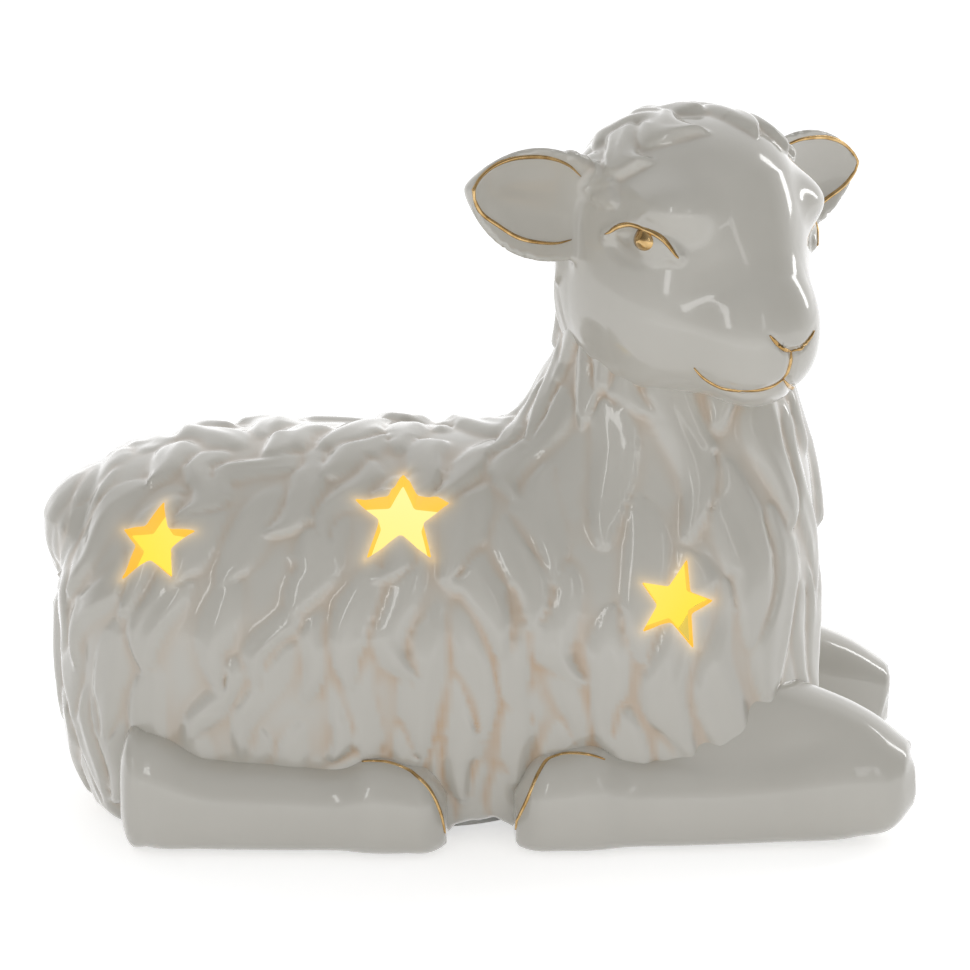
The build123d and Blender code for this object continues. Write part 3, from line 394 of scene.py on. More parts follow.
# %% Where the locks grow
FLEECE_SEED = 23
LEAN_PLACES, LEANS = [-80, -35, 0, 18, 36, 70], [-0.10, -0.28, 0.10, 0.26, 0.05, -0.12]
rng = np.random.default_rng(FLEECE_SEED)
points, normals = read_points(lamb), read_normals(lamb)
x, z = points[:, 0], points[:, 2]
flow = flow_over(points, normals, np.interp(x, LEAN_PLACES, LEANS))
chesty = np.clip((x - 15) / 20, 0, 1) * np.clip((90 - z) / 12, 0, 1)
spine = np.clip((normals[:, 2] - 0.5) / 0.3, 0, 1) * (z > 55)
rump = np.clip((-55 - x) / 15, 0, 1)
length = 26 + 10 * chesty - 3 * spine
width = 12.2 + 3.2 * chesty + 1.2 * spine + 1.4 * rump
rise = 2.3 + 0.3 * chesty + 0.6 * spine + 0.5 * rump
spacing = np.stack([0.50 * length, 0.64 * width], axis=1)
woolly = np.nonzero(z > 3)[0]
picked = woolly[scatter(points[woolly], normals[woolly], flow[woolly], spacing[woolly], rng)]
along = turn_about(flow[picked], normals[picked], rng.normal(0, 0.11, len(picked)))
vary = rng.uniform(0.80, 1.20, (len(picked), 3))
sizes = np.stack([length[picked], width[picked], rise[picked]], axis=1) * vary
locks = Locks(points[picked], normals[picked], along, sizes, rng)
print("locks", len(picked))

# %% Raise the locks
SUNK, TAIL_LIFT = 1.25, 0.30  # mm
GROOVE_START, GROOVE_DEPTH = 0.05, 0.4  # mm below the softened relief
tail_gap = fleece_form(points) - tail_form(points)
on_tail = np.clip(tail_gap / 4, 0, 1)
edges = read_edges(lamb)
height = soften(locks.height(points, normals) * (1 - 0.75 * on_tail), edges, 2)
# painted shade and painted lamp glow: points well below the softened relief get a warm, darker glaze colour
groove_shade_glow = np.clip((soften(height, edges, 24) - height - GROOVE_START) / GROOVE_DEPTH, 0, 1)
# the painted glow is strongest in the lower middle, near the lamp, and in a band about 88 mm up
lamp_warmth = 0.3 + 0.7 * np.exp(-(((x - 2) / 34) ** 2) - ((z - 24) / 22) ** 2)
groove_shade_glow *= np.clip(lamp_warmth + 0.35 * np.exp(-(((z - 88) / 10) ** 2)), 0, 1)
fade = np.clip(z / 4, 0, 1) * np.clip(np.abs(tail_gap) / 4, 0, 1)
write_points(lamb, points + normals * ((height - SUNK + TAIL_LIFT * on_tail) * fade)[:, None])
store(lamb, "groove_shade_glow", groove_shade_glow)
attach(lamb, "figurine")
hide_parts("fleece_body", "tail")
print("relief from", round(height.min() - SUNK, 2), "to", round(height.max() - SUNK, 2), "mm")


# %% [markdown]
# ## Clay lit from inside
# Seen through the stars, the thin wall glows yellow from the lamp in the foot. A lamp in the hollow could light
# it, but such light takes long to come out clean. Clay that gives off its own light looks the same from outside,
# and a ramp over the distance from the lamp makes it paler near the lamp. The foot is bare, unglazed clay.

# %% Shader helpers
def new_material(name):
    material = bpy.data.materials.new(name)
    material.use_nodes = True
    tree = material.node_tree
    return material, tree, tree.nodes["Principled BSDF"]


def ramp_node(tree, value, stops):
    ramp = tree.nodes.new("ShaderNodeValToRGB")
    while len(ramp.color_ramp.elements) < len(stops):
        ramp.color_ramp.elements.new(0.5)
    for element, (place, colour) in zip(ramp.color_ramp.elements, stops):
        element.position, element.color = place, (*colour, 1)
    tree.links.new(value, ramp.inputs["Fac"])
    return ramp.outputs["Color"]


def object_place(tree):
    return tree.nodes.new("ShaderNodeTexCoord").outputs["Object"]


def grain(tree, scale, detail=3.0, place=None):
    noise = tree.nodes.new("ShaderNodeTexNoise")
    noise.inputs["Scale"].default_value, noise.inputs["Detail"].default_value = scale, detail
    tree.links.new(object_place(tree) if place is None else place, noise.inputs["Vector"])
    return noise.outputs["Fac"]


def bump(tree, shader, height, strength, distance):
    node = tree.nodes.new("ShaderNodeBump")
    node.inputs["Strength"].default_value, node.inputs["Distance"].default_value = strength, distance
    tree.links.new(height, node.inputs["Height"])
    tree.links.new(node.outputs["Normal"], shader.inputs["Normal"])


def spanned(tree, value, **ends):
    """Map a value from one span to another; the ends carry the socket's names."""
    span = tree.nodes.new("ShaderNodeMapRange")
    for end, number in ends.items():
        span.inputs[end.replace("_", " ").title()].default_value = number
    tree.links.new(value, span.inputs["Value"])
    return span.outputs["Result"]


def joined(tree, operation, first, second):
    """A math node of two values, each a socket or a number."""
    node = tree.nodes.new("ShaderNodeMath")
    node.operation = operation
    for place, value in enumerate((first, second)):
        if isinstance(value, float):
            node.inputs[place].default_value = value
        else:
            tree.links.new(value, node.inputs[place])
    return node.outputs["Value"]


print("shader helpers: ramp, grain, bump, span and sum")


# %% Lamplit and bare clay
LAMP_PLACE, LAMP_NEAR, LAMP_FAR = (-0.008, 0.0, 0.06), 0.024, 0.07  # m


def lamplit(name, near, far, strength):
    """Clay lit by the lamp inside: paler near the lamp, deeper yellow further away."""
    material, tree, shader = new_material(name)
    shader.inputs["Roughness"].default_value = 0.6
    shader.inputs["Base Color"].default_value = (0.22, 0.17, 0.08, 1)
    away = tree.nodes.new("ShaderNodeVectorMath")
    away.operation = "DISTANCE"
    away.inputs[1].default_value = LAMP_PLACE
    tree.links.new(object_place(tree), away.inputs[0])
    reach = spanned(tree, away.outputs["Value"], from_min=LAMP_NEAR, from_max=LAMP_FAR)
    tree.links.new(ramp_node(tree, reach, [(0, near), (1, far)]), shader.inputs["Emission Color"])
    shader.inputs["Emission Strength"].default_value = strength
    bump(tree, shader, grain(tree, 700), 0.2, 0.0004)
    return material


def unglazed():
    material, tree, shader = new_material("bisque")
    shader.inputs["Roughness"].default_value = 0.85
    tone = ramp_node(tree, grain(tree, 260, 6), [(0.3, (0.60, 0.57, 0.51)), (0.7, (0.72, 0.69, 0.63))])
    tree.links.new(tone, shader.inputs["Base Color"])
    bump(tree, shader, grain(tree, 1800, 4), 0.35, 0.0003)
    return material


lit_wall = lamplit("lit_wall", (1.0, 0.92, 0.42), (1.0, 0.74, 0.05), 0.92)
lit_edge = lamplit("lit_edge", (0.97, 0.58, 0.07), (0.95, 0.50, 0.05), 0.85)
bisque = unglazed()
print("made", lit_wall.name, lit_edge.name, bisque.name)


# %% [markdown]
# ## Hollow clay and star windows
# Slip casting leaves a wall about 3 mm thick. The hollow is one more form, a little smaller than the body,
# with a recess under the foot and a round hole for the light unit. The stars are cut through the leather-hard
# wall with a shaped knife, so each is a short prism that faces out of the flank. Fields would blunt the stars'
# thin points, so a boolean modifier cuts them sharp and brings the lit clay with the knife.

# %% Hollow and star forms
STARS = [((-58.0, -25.9, 56.8), -20, 34, -2, (8.6, 7.4, 9.6, 8.3, 8.3)),
         ((-12.8, -25.6, 61.8), 2, 43, 3, (10.1, 9.4, 11.2, 10.5, 9.4)),
         ((37.4, -30.5, 46.6), 4, 10, 15, (8.7, 7.6, 8.1, 9.3, 7.3))]
STAR_WAIST, WALL = 3.8, 3.2
RECESS_TOP, FLOOR_TOP, HOLE_RADIUS, HOLE_X = 3.4, 7, 22, -8


def hollow_form(p):
    inner = fleece_form(p) + WALL
    height, reach = p[:, 2], np.hypot(p[:, 0] - HOLE_X, p[:, 1])
    cavity = scoop(inner, height - FLOOR_TOP, 1.0)
    recess = np.maximum(inner, np.maximum(height - RECESS_TOP, -3 - height))
    hole = np.maximum(reach - HOLE_RADIUS, np.abs(height - 3) - 6)
    return melt(melt(cavity, hole, 0.8), recess, 0.8)


def star_axes(yaw, tilt, lean):
    """Rows are the star's right, its top point and its outward normal."""
    def spin(axis, degrees):
        c, s = math.cos(math.radians(degrees)), math.sin(math.radians(degrees))
        i, j = [(1, 2), (2, 0), (0, 1)][axis]
        turn = np.eye(3)
        turn[i, i], turn[i, j], turn[j, i], turn[j, j] = c, -s, s, c
        return turn
    return (spin(2, yaw) @ spin(0, 90 - tilt) @ spin(2, -lean)).T


def star_outline(tips, soft=0.10):
    """A hand-cut star: tips of unequal reach from the top one leftwards, all corners a little rounded."""
    turns = math.pi / 2 + np.arange(10) * math.pi / 5
    reach = np.where(np.arange(10) % 2 == 0, np.repeat(tips, 2), STAR_WAIST * np.mean(tips) / 9)
    corners = np.stack([reach * np.cos(turns), reach * np.sin(turns)], axis=1)
    before, after = np.roll(corners, 1, axis=0), np.roll(corners, -1, axis=0)
    outline = []
    for back, corner, front in zip(before, corners, after):
        start, end = corner + soft * (back - corner), corner + soft * (front - corner)
        outline += [(1 - t) ** 2 * start + 2 * t * (1 - t) * corner + t * t * end for t in (0, 0.33, 0.67, 1)]
    return np.array(outline)


print(len(STARS), "stars,", [round(2 * float(np.mean(tips)), 1) for *_, tips in STARS], "mm across")


# %% Knife and glow
STAR_SPREAD = (0.74, 1.20)  # narrow inside, wide outside: the bevel of the knife
GLOW_REACH = 0.8  # mm


def star_prisms(depth):
    points, faces = [], []
    for centre, yaw, tilt, lean, tips in STARS:
        base, axes, outline = len(points), star_axes(yaw, tilt, lean), star_outline(tips)
        count = len(outline)
        for level, spread in zip((-depth, depth), STAR_SPREAD):
            points += list(np.asarray(centre) + spread * outline @ axes[:2] + level * axes[2])
        inner = [base + i for i in range(count)]
        outer = [i + count for i in inner]
        inner_next, outer_next = inner[1:] + inner[:1], outer[1:] + outer[:1]
        faces += [list(quad) for quad in zip(inner, inner_next, outer_next, outer)]
        faces += [inner[::-1], outer]
    return make_piece("star_knife", points, faces)


def carve(piece, knife):
    cut = piece.modifiers.new("cut", "BOOLEAN")
    cut.operation, cut.solver, cut.material_mode, cut.object = "DIFFERENCE", "EXACT", "TRANSFER", knife
    apply_modifiers(piece)
    bpy.data.objects.remove(knife, do_unlink=True)


def star_glow(points, normals):
    """How much lamp light soaks into the glaze around each star's edge."""
    glow = np.zeros(len(points))
    for centre, yaw, tilt, lean, tips in STARS:
        axes, outline = star_axes(yaw, tilt, lean), star_outline(tips)
        run = np.roll(outline, -1, axis=0) - outline
        rel = (points - np.asarray(centre)) @ axes.T
        close = (np.hypot(rel[:, 0], rel[:, 1]) < 16) & (np.abs(rel[:, 2]) < 9)
        near = np.nonzero(close & (normals @ axes[2] > 0.2))[0]
        offset = rel[near, None, :2] - outline[None]
        t = np.clip(np.sum(offset * run, axis=2) / np.sum(run * run, axis=1), 0, 1)
        gap = np.min(np.linalg.norm(offset - t[..., None] * run, axis=2), axis=1)
        glow[near] = np.maximum(glow[near], np.exp(-gap / GLOW_REACH))
    return glow


print("the glow falls to a third in", GLOW_REACH, "mm")

# %% Cut the hollow and the stars
glaze = bpy.data.materials.new("glazed_porcelain")
lamb.data.materials.append(glaze)
hollow = mould("hollow", hollow_form, (-80, -38, -6), (70, 38, 104), 3.2, 1)
for clay in (lit_wall, bisque):
    hollow.data.materials.append(clay)
low_faces = [face.center.z < 0.0075 for face in hollow.data.polygons]
hollow.data.polygons.foreach_set("material_index", np.array(low_faces, dtype=np.int32))
carve(lamb, hollow)
knife = star_prisms(8.0)
knife.data.materials.append(lit_edge)
carve(lamb, knife)
store(lamb, "glow", star_glow(read_points(lamb), read_normals(lamb)))
shade_smooth(lamb)
lamb.data.set_sharp_from_angle(angle=math.radians(55))
print("fleece after cutting", len(lamb.data.polygons), "faces", [m.name for m in lamb.data.materials])


# %% [markdown]
# ## The head
# The head has its own frame: forward along the nose, right towards the lamb's right ear, and up. Eggs and
# limbs make the skull, nose, muzzle, chin and cheeks; lids and lips are thin limbs melted on. Sculpting would
# do as well, but here both cheeks stay alike and the gold can follow the same lines later.

# %% Head frame
NOSE_LEVEL, NOSE_BEND, BEND_START = 16.0, 0.085, 6
ROLL = math.radians(4)
HEAD_PIVOT = np.array([38.5, -3.0, 108.6 - NOSE_LEVEL])
FORWARD = np.array([0.643, -0.766, 0.0])
LEVEL_RIGHT = np.array([-0.766, -0.643, 0.0])
RIGHT = math.cos(ROLL) * LEVEL_RIGHT + math.sin(ROLL) * UP
CROWN = math.cos(ROLL) * UP - math.sin(ROLL) * LEVEL_RIGHT


def to_head(p):
    rel = p - HEAD_PIVOT
    return np.stack([rel @ FORWARD, rel @ RIGHT, rel @ CROWN - NOSE_LEVEL], axis=1)


def from_head(q):
    q = np.atleast_2d(np.asarray(q, float))
    return HEAD_PIVOT + q[:, :1] * FORWARD + q[:, 1:2] * RIGHT + (q[:, 2:] + NOSE_LEVEL) * CROWN


def nose_bend(forward):
    """The nose turns a little to the right, more towards its tip."""
    return NOSE_BEND * np.clip(forward - BEND_START, 0, None)


def to_half(q):
    """Fold the left half of the face onto the right one."""
    return np.stack([q[:, 0], np.abs(q[:, 1] - nose_bend(q[:, 0])), q[:, 2]], axis=1)


print("the middle of the head is at", from_head([(0, 0, 0)])[0].round(1), "mm")


# %% Ears
EAR_ROOT, EAR_TIP = np.array([-4.0, 15.5, 4.6]), np.array([-6.5, 48.3, 11.6])
EAR_FRONT = np.array([0.98, 0.06, 0.0])
EAR_HALF, EAR_DISH = 10.2, 4.4
EAR_THIN, EAR_SWELL = 1.9, 1.1  # half thickness at the tip, and what the root adds


def ear_form(q):
    """The right ear, a dished leaf that points out to the right."""
    root, tip, front = EAR_ROOT, EAR_TIP, EAR_FRONT
    run = np.linalg.norm(tip - root)
    out = (tip - root) / run
    front = front - (front @ out) * out
    front /= np.linalg.norm(front)
    rel = q - root
    s, t, n = rel @ out / run, rel @ np.cross(front, out), rel @ front
    t = -t if np.cross(front, out)[2] < 0 else t
    inside = np.clip(s, 0.0, 1.0)
    half = EAR_HALF * np.sin(np.pi * np.clip(0.2 + 0.8 * inside, 0, 1) ** 1.3) ** 0.6 + 0.05
    dish = EAR_DISH * (1 - (t / half) ** 2) * np.sin(np.pi * (0.1 + 0.9 * inside)) ** 0.6
    thick = EAR_THIN + EAR_SWELL * (1 - inside)
    leaf = np.sqrt((t / half) ** 2 * thick**2 + (n + np.clip(dish, 0, None) - 1.5) ** 2) - thick
    return -melt(-leaf, -np.maximum(-s, s - 1) * run, 1.2)


print("ear", round(float(np.linalg.norm(EAR_TIP - EAR_ROOT)), 1), "mm long")


# %% Face lines
LID_LINE = [(3.6, 22.6, 3.2), (5.9, 22.1, 4.9), (8.6, 21.0, 6.0), (11.0, 20.2, 5.9), (13.6, 19.4, 5.0),
            (16.0, 18.3, 3.3), (18.0, 16.8, 1.1)]
LOWER_LID = [(5.0, 22.0, 2.6), (7.0, 21.2, 1.0), (10.0, 20.2, 0.0), (14.0, 19.2, 0.1), (17.6, 17.4, 1.0)]
NOSE_LINE = [(33.4, 0.0, -15.0), (33.0, 2.4, -14.2), (32.4, 4.0, -13.0), (31.6, 5.2, -11.7)]
LIP_LINE = [(33.4, 0.0, -15.0), (33.2, 0.0, -17.0), (32.6, 0.0, -19.0), (31.8, 0.0, -20.8)]
MOUTH_LINE = [(31.8, 0.0, -20.8), (30.4, 2.4, -22.2), (28.6, 4.4, -22.9), (26.4, 6.2, -22.8), (24.4, 7.8, -22.1),
              (22.6, 9.6, -20.9), (21.4, 10.8, -19.6), (20.4, 12.2, -18.0)]


def string(p, beads, radius):
    """A thin rod through a row of points."""
    runs = [limb(p, a, b, radius, radius) for a, b in zip(beads[:-1], beads[1:])]
    return np.min(runs, axis=0)


print("lines of", [len(line) for line in (LID_LINE, LOWER_LID, NOSE_LINE, LIP_LINE, MOUTH_LINE)], "points")


# %% Face and head
def bare_face(m):
    skull = super_egg(m, (0, 0, 1), (23, 22.9, 22.5), 2.1)
    nose = limb(m, (9, 0, 8), (20, 0, -8), 13.5, 10.2)
    muzzle = super_egg(m, (20, 0, -14.5), (13.5, 12.8, 11.5), 2.2)
    chin = super_egg(m, (20.5, 0, -20), (10.5, 9, 7.4))
    cheek = super_egg(m, (3, 10, -12.5), (18, 13, 14.5))
    brow = super_egg(m, (12.5, 14, 9), (8, 7, 5))
    head = melt(skull, nose, 9)
    head = melt(head, cheek, 8)
    head = melt(head, brow, 4)
    head = melt(head, muzzle, 7)
    head = melt(head, chin, 1.2)
    head = scoop(head, super_egg(m, (12.0, 22.4, 2.8), (7.2, 2.6, 3.4)), 2.2)
    return melt(head, super_egg(m, (11.2, 15.8, 2.6), (6.8, 5.0, 3.9)), 0.8)


def face_form(q):
    m = to_half(q)
    head = bare_face(m)
    head = melt(head, string(m, LID_LINE, 0.5), 2.0)
    head = melt(head, string(m, LOWER_LID, 0.2), 2.0)
    head = scoop(head, string(m, NOSE_LINE, 0.05), 1.6)
    head = scoop(head, string(m, LIP_LINE, 0.1), 1.8)
    return scoop(head, string(m, MOUTH_LINE, 0.1), 2.2)


def hair_form(q):
    """The pad of wool on the crown that the forelock is carved in."""
    return super_egg(q, (-5.5, 0, 6.2), (14.5, 16.5, 17.2))


def head_form(p):
    q = to_head(p)
    return melt(melt(face_form(q), hair_form(q), 3.0), ear_form(fold_sides(q)), 2.0)


def bare_head(p):
    """The head without lids, creases and wool: it gives the gold steady normals."""
    q = to_head(p)
    return melt(bare_face(to_half(q)), ear_form(fold_sides(q)), 2.0)


head = mould("head_cast", head_form, (-10, -44, 78), (86, 44, 142), 1.7, 2)
print("head", len(head.data.vertices), "points")


# %% [markdown]
# ## Forelock and the wool behind the ears
# The forelock is a handful of thick locks, listed one by one, ear to ear. The back of the head is combed like
# the body, so the neck and the head read as one fleece. Hair strands could be grown instead, but the real
# locks are solid clay under one glaze, so they are relief here too.

# %% Sow the nape
points, normals = read_points(head), read_normals(head)
local = to_head(points)
off_ears = ear_form(fold_sides(local)) > 1.0
nape = np.clip((-6 - local[:, 0] - 0.25 * np.clip(local[:, 2], 0, 30)) / 5, 0, 1) * off_ears
woolly = np.nonzero(nape > 0.6)[0]
flow = flow_over(points, normals, np.zeros(len(points)))
spacing = np.tile([9.0, 6.2], (len(points), 1))
picked = woolly[scatter(points[woolly], normals[woolly], flow[woolly], spacing[woolly], rng)]
along = turn_about(flow[picked], normals[picked], rng.normal(0, 0.2, len(picked)))
sizes = np.tile([18.0, 9.0, 1.6], (len(picked), 1)) * rng.uniform(0.87, 1.13, (len(picked), 3))
nape_locks = Locks(points[picked], normals[picked], along, sizes, rng)
print("nape locks", len(picked))

# %% Lay the forelock
FORELOCK = [((-9, 11, 19), (8.2, 15.6, 15.8)), ((-9, 5.5, 22), (12.2, 6.2, 19.4)), ((-7, 0, 23), (15.4, -1.6, 17.8)),
            ((-6, -6.5, 22), (15, -8.4, 16)), ((-8, -12, 19), (11.5, -14.6, 14.6)), ((-14, 8.5, 18), (2.4, 10.4, 20.6)),
            ((-14, 2.5, 19), (5.6, 1.8, 22.6)), ((-13, -5, 19), (6, -5.4, 21.8)), ((-10, 14.5, 13), (2.4, 18.8, 12)),
            ((-13, -10, 17), (4, -11.4, 19)), ((-12, -15, 12), (2, -18, 12.6)), ((-6, 16.5, 11), (5, 20.0, 8.2))]


def facing(form, points):
    _, slope = slope_of(form, points)
    return slope / np.linalg.norm(slope, axis=1)[:, None]


roots, tips = (from_head([lock[end] for lock in FORELOCK]) for end in (0, 1))
seeds = settle(head_form, 0.5 * (roots + tips))
out = facing(head_form, seeds)
along, length = tips - roots, np.linalg.norm(tips - roots, axis=1)
along -= np.sum(along * out, axis=1)[:, None] * out
along /= np.linalg.norm(along, axis=1)[:, None]
sizes = np.stack([length, np.clip(0.62 * length, 7, 13), np.clip(0.12 * length, 1.1, 2.1)], axis=1)
forelock = Locks(seeds, out, along, sizes, rng)
print("forelock", len(FORELOCK), "locks,", length.round(0), "mm long")

# %% Carve the head
edges = read_edges(head)
laid_forward = soften(forelock.height(points, normals, 0), edges, 7)
height = np.maximum(soften(nape_locks.height(points, normals) * nape, edges, 2), laid_forward)
# painted shade: the head's wool grooves get half the warm, darker glaze colour
groove_shade_glow = np.clip((soften(height, edges, 24) - height - 0.1) / 0.8, 0, 1)
write_points(head, points + normals * height[:, None])
store(head, "groove_shade_glow", 0.5 * groove_shade_glow)
shade_smooth(head)
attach(head, "figurine")
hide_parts("head", "right_ear", "left_ear")
print("wool on the head rises", round(height.max(), 2), "mm")


# %% [markdown]
# ## The folded legs
# Each leg is a bar along the ground. The foreleg has a second bar, the forearm, which lies on the shin and
# leaves a soft crease. A mirror modifier could make the left legs; mirroring the form before it is moulded
# leaves each leg a mesh of its own, with its faces outwards.

# %% Leg forms
FORE_SHIN = [(0, 6.6, 3.4, 4.4, 5.6), (2.6, 8.0, 6.5, 7.8, 7.8), (8.2, 9.0, 8.2, 9.6, 9.0), (16, 9.2, 8.5, 10.2, 9.2),
             (18.6, 8.8, 7.9, 9.2, 8.6), (31.3, 8.5, 7.8, 8.7, 8.3), (48.4, 9.0, 8.1, 8.9, 8.7),
             (63.3, 10.4, 9.2, 9.9, 9.4), (71.1, 10.5, 7.5, 7.8, 7.5), (74.5, 10.9, 3.9, 4.1, 4.4)]
FOREARM = [(0, 0, 6.6, 6.1, 6.1), (8, 0, 8.9, 8.7, 8.4), (24, 0, 9.8, 9.8, 9.5), (40, 0, 8.6, 8.2, 8.6)]
HIND_SHIN = [(0, 6.8, 3.8, 4.0, 5.4), (2.4, 7.9, 7.0, 6.8, 7.6), (7.8, 8.6, 8.7, 8.5, 8.6),
             (15.3, 8.8, 9.0, 9.0, 8.8), (17.7, 8.5, 8.4, 8.1, 8.3), (30, 8.5, 8.3, 8.1, 8.3), (45, 9.0, 8.7, 9.0, 8.8),
             (55.2, 11.2, 8.8, 11.2, 10.8), (59.1, 11.9, 7.2, 10.1, 10.4), (60, 11.9, 5.4, 7.6, 8.3)]


def heading(degrees, forward=1):
    """A level direction, turned by some degrees towards the middle of the lamb."""
    return np.array([forward * math.cos(math.radians(degrees)), math.sin(math.radians(degrees)), 0])


def foreleg_form(p):
    along = heading(6)
    shin = bar(p, (8, -33.5, 0), along, np.cross(UP, along), UP, FORE_SHIN, 2.6)
    level = heading(12, -1)
    back = level * math.cos(math.radians(18)) + UP * math.sin(math.radians(18))
    side = np.cross(UP, level)
    arm = bar(p, (79.9, -25.9, 11.9), back, side, np.cross(back, side), FOREARM)
    elbow = super_egg(p, (46, -24.0, 14.5), (16, 9.8, 8), 2.2)
    return scoop(melt(shin, melt(arm, elbow, 6), 2.0), p[:, 2], 1.5)


def hindleg_form(p):
    along = heading(3, -1)
    shin = bar(p, (-4.5, -34, 0), along, np.cross(UP, along), UP, HIND_SHIN, 2.6)
    return scoop(shin, p[:, 2], 1.5)


def mirrored(form):
    return lambda p: form(p * np.array([1.0, -1.0, 1.0]))


print("shins", FORE_SHIN[-1][0], "and", HIND_SHIN[-1][0], "mm long")

# %% Mould the legs
LEG_STEP = 2.0  # grid in mm
LEGS = [("foreleg", foreleg_form, (2, -46, -3), (88, -6, 34)),
        ("hindleg", hindleg_form, (-70, -48, -3), (0, -20, 27))]
for side_name, flip in (("right", 1), ("left", -1)):
    for leg_name, form, low, high in LEGS:
        leg_form = form if flip == 1 else mirrored(form)
        near, far = sorted([flip * low[1], flip * high[1]])
        leg = mould(side_name + "_" + leg_name + "_cast", leg_form,
                    (low[0], near, low[2]), (high[0], far, high[2]), LEG_STEP, 1)
        shade_smooth(leg)
        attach(leg, "figurine")
        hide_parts(side_name + "_" + leg_name)
        print(leg.name, len(leg.data.vertices), "points")


# %% [markdown]
# ## Gold lines
# Gold lustre is brushed over the fired glaze and fired again. Each line here is a thin ribbon, a little proud
# of the glaze, that follows a few points laid on the form and thins out where the brush lifts. A painted
# texture would blur close up; a ribbon keeps a crisp edge and has a finish of its own.

# %% Lay points on the clay
def brushed(path, count):
    """Even points along a smooth curve through a few."""
    path = np.asarray(path, float)
    at = np.concatenate([[0], np.cumsum(np.linalg.norm(np.diff(path, axis=0), axis=1))])
    return np.stack([ease(np.linspace(0, at[-1], count), at, path[:, k]) for k in range(3)], axis=1)


def drop_on(piece):
    """A function that drops points along their normals onto a moulded piece."""
    tree = BVHTree.FromPolygons(read_points(piece).tolist(), [list(face.vertices) for face in piece.data.polygons])

    def drop(points, normal):
        hits = [tree.ray_cast((point + 4 * out).tolist(), (-out).tolist(), 9)[0] for point, out in zip(points, normal)]
        return np.array([point if hit is None else hit[:] for point, hit in zip(points, hits)])
    return drop


def lay_close(form):
    """A function that moves points to the nearest place on a form."""
    return lambda points, normal: settle(form, points, 2)


print("points drop up to 5 mm onto the head, and settle on the legs and ears")


# %% Strokes and beads
RIBBON = ((-1.0, -0.05), (-0.6, 0.20), (0.0, 0.27), (0.6, 0.20), (1.0, -0.05), (0.0, -0.40))
BEAD_DOME, BEAD_EDGE, BEAD_ROOT = 0.9, 0.15, -0.4  # mm above the clay


def gold_line(lay, form, path, width, count=44):
    """A ribbon laid on a piece; the form without its fine creases gives steady normals."""
    spine = settle(form, brushed(path, count))
    normal = facing(form, spine)
    spine = lay(spine, normal)
    run = np.gradient(spine, axis=0)
    side = np.cross(normal, run / np.linalg.norm(run, axis=1)[:, None])
    share = np.linspace(0, 1, count)
    half = 0.5 * width * (0.2 + 0.8 * np.clip(np.minimum(share, 1 - share) / 0.22, 0, 1) ** 0.6)
    rows = [lay(spine + side * (across * half)[:, None], normal) + normal * lift for across, lift in RIBBON]
    points, ring = np.stack(rows, axis=1).reshape(-1, 3), len(RIBBON)
    faces = [[i * ring + k, i * ring + (k + 1) % ring, (i + 1) * ring + (k + 1) % ring, (i + 1) * ring + k]
             for i in range(count - 1) for k in range(ring)]
    return points, faces + [list(reversed(range(ring))), [(count - 1) * ring + k for k in range(ring)]]


def gold_bead(lay, form, centre, radius, stretch, rings=5, spokes=24):
    """A domed drop of lustre, wider than it is tall."""
    centre = settle(form, np.atleast_2d(np.asarray(centre, float)))
    normal = facing(form, centre)[0]
    across = stretch * np.cross(normal, UP) / np.linalg.norm(np.cross(normal, UP))
    turns = np.arange(spokes) * 2 * np.pi / spokes
    spoke = np.cos(turns)[:, None] * across + np.sin(turns)[:, None] * np.cross(normal, across) / stretch
    points, faces = [lay(centre, normal[None])[0] + (BEAD_DOME + BEAD_EDGE) * normal], []
    for ring in range(1, rings + 2):
        share = min(ring / rings, 1)
        lift = BEAD_DOME * (1 - share**2) + (BEAD_EDGE if ring <= rings else BEAD_ROOT)
        points += list(lay(centre + radius * share * spoke, np.tile(normal, (spokes, 1))) + lift * normal)
    for k in range(spokes):
        near, far = 1 + k, 1 + (k + 1) % spokes
        faces.append([0, near, far])
        for inner, outer in zip(range(rings), range(1, rings + 1)):
            faces.append([near + inner * spokes, near + outer * spokes, far + outer * spokes, far + inner * spokes])
    return points, faces + [[1 + rings * spokes + k for k in reversed(range(spokes))]]


def gold_piece(name, strokes):
    points, faces = [], []
    for stroke_points, stroke_faces in strokes:
        faces += [[len(points) + k for k in face] for face in stroke_faces]
        points += list(stroke_points)
    piece = make_piece(name, points, faces)
    face_outwards(piece)
    shade_smooth(piece)
    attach(piece, "figurine")
    print(name, len(strokes), "strokes")
    return piece


print("a ribbon stands", max(lift for _, lift in RIBBON), "mm above the glaze")


# %% Where the gold goes
EAR_LINE = [(-3.6, 23.4, 12.9), (-3.6, 26.0, 14.8), (-3.8, 30.8, 16.5), (-4.0, 35.4, 16.9), (-4.0, 40.1, 16.6),
            (-4.0, 44.8, 15.1), (-4.0, 47.8, 12.7), (-3.8, 48.4, 11.0), (-3.6, 46.5, 8.3), (-4.6, 41.2, 4.6),
            (-4.6, 36.2, 2.0), (-4.4, 31.5, 0.9), (-4.1, 27.4, 0.6), (-3.7, 24.6, 1.1)]
HIND_HOOF = [(-20.1, -35.3, 17.6), (-17.7, -36.0, 18.0), (-15.3, -35.9, 17.8), (-13.1, -36.2, 17.2),
             (-11.5, -36.9, 16.6), (-9.6, -38.6, 15.6), (-7.9, -39.3, 14.1), (-6.5, -39.3, 11.4),
             (-5.6, -38.8, 8.7), (-4.9, -37.9, 4.7)]
FORE_HOOF = [(24.5, -36.5, 18.4), (21.8, -36.1, 19.2), (19.1, -35.0, 19.2), (16.3, -33.8, 18.7), (14.5, -34.4, 18.1),
             (12.8, -36.8, 16.9), (11.7, -38.0, 15.0), (10.4, -38.4, 11.9), (8.9, -37.4, 8.1), (7.9, -35.8, 4.6)]
IRIS, IRIS_RADIUS, IRIS_STRETCH = (11.8, 20.2, 3.2), 1.85, 1.45


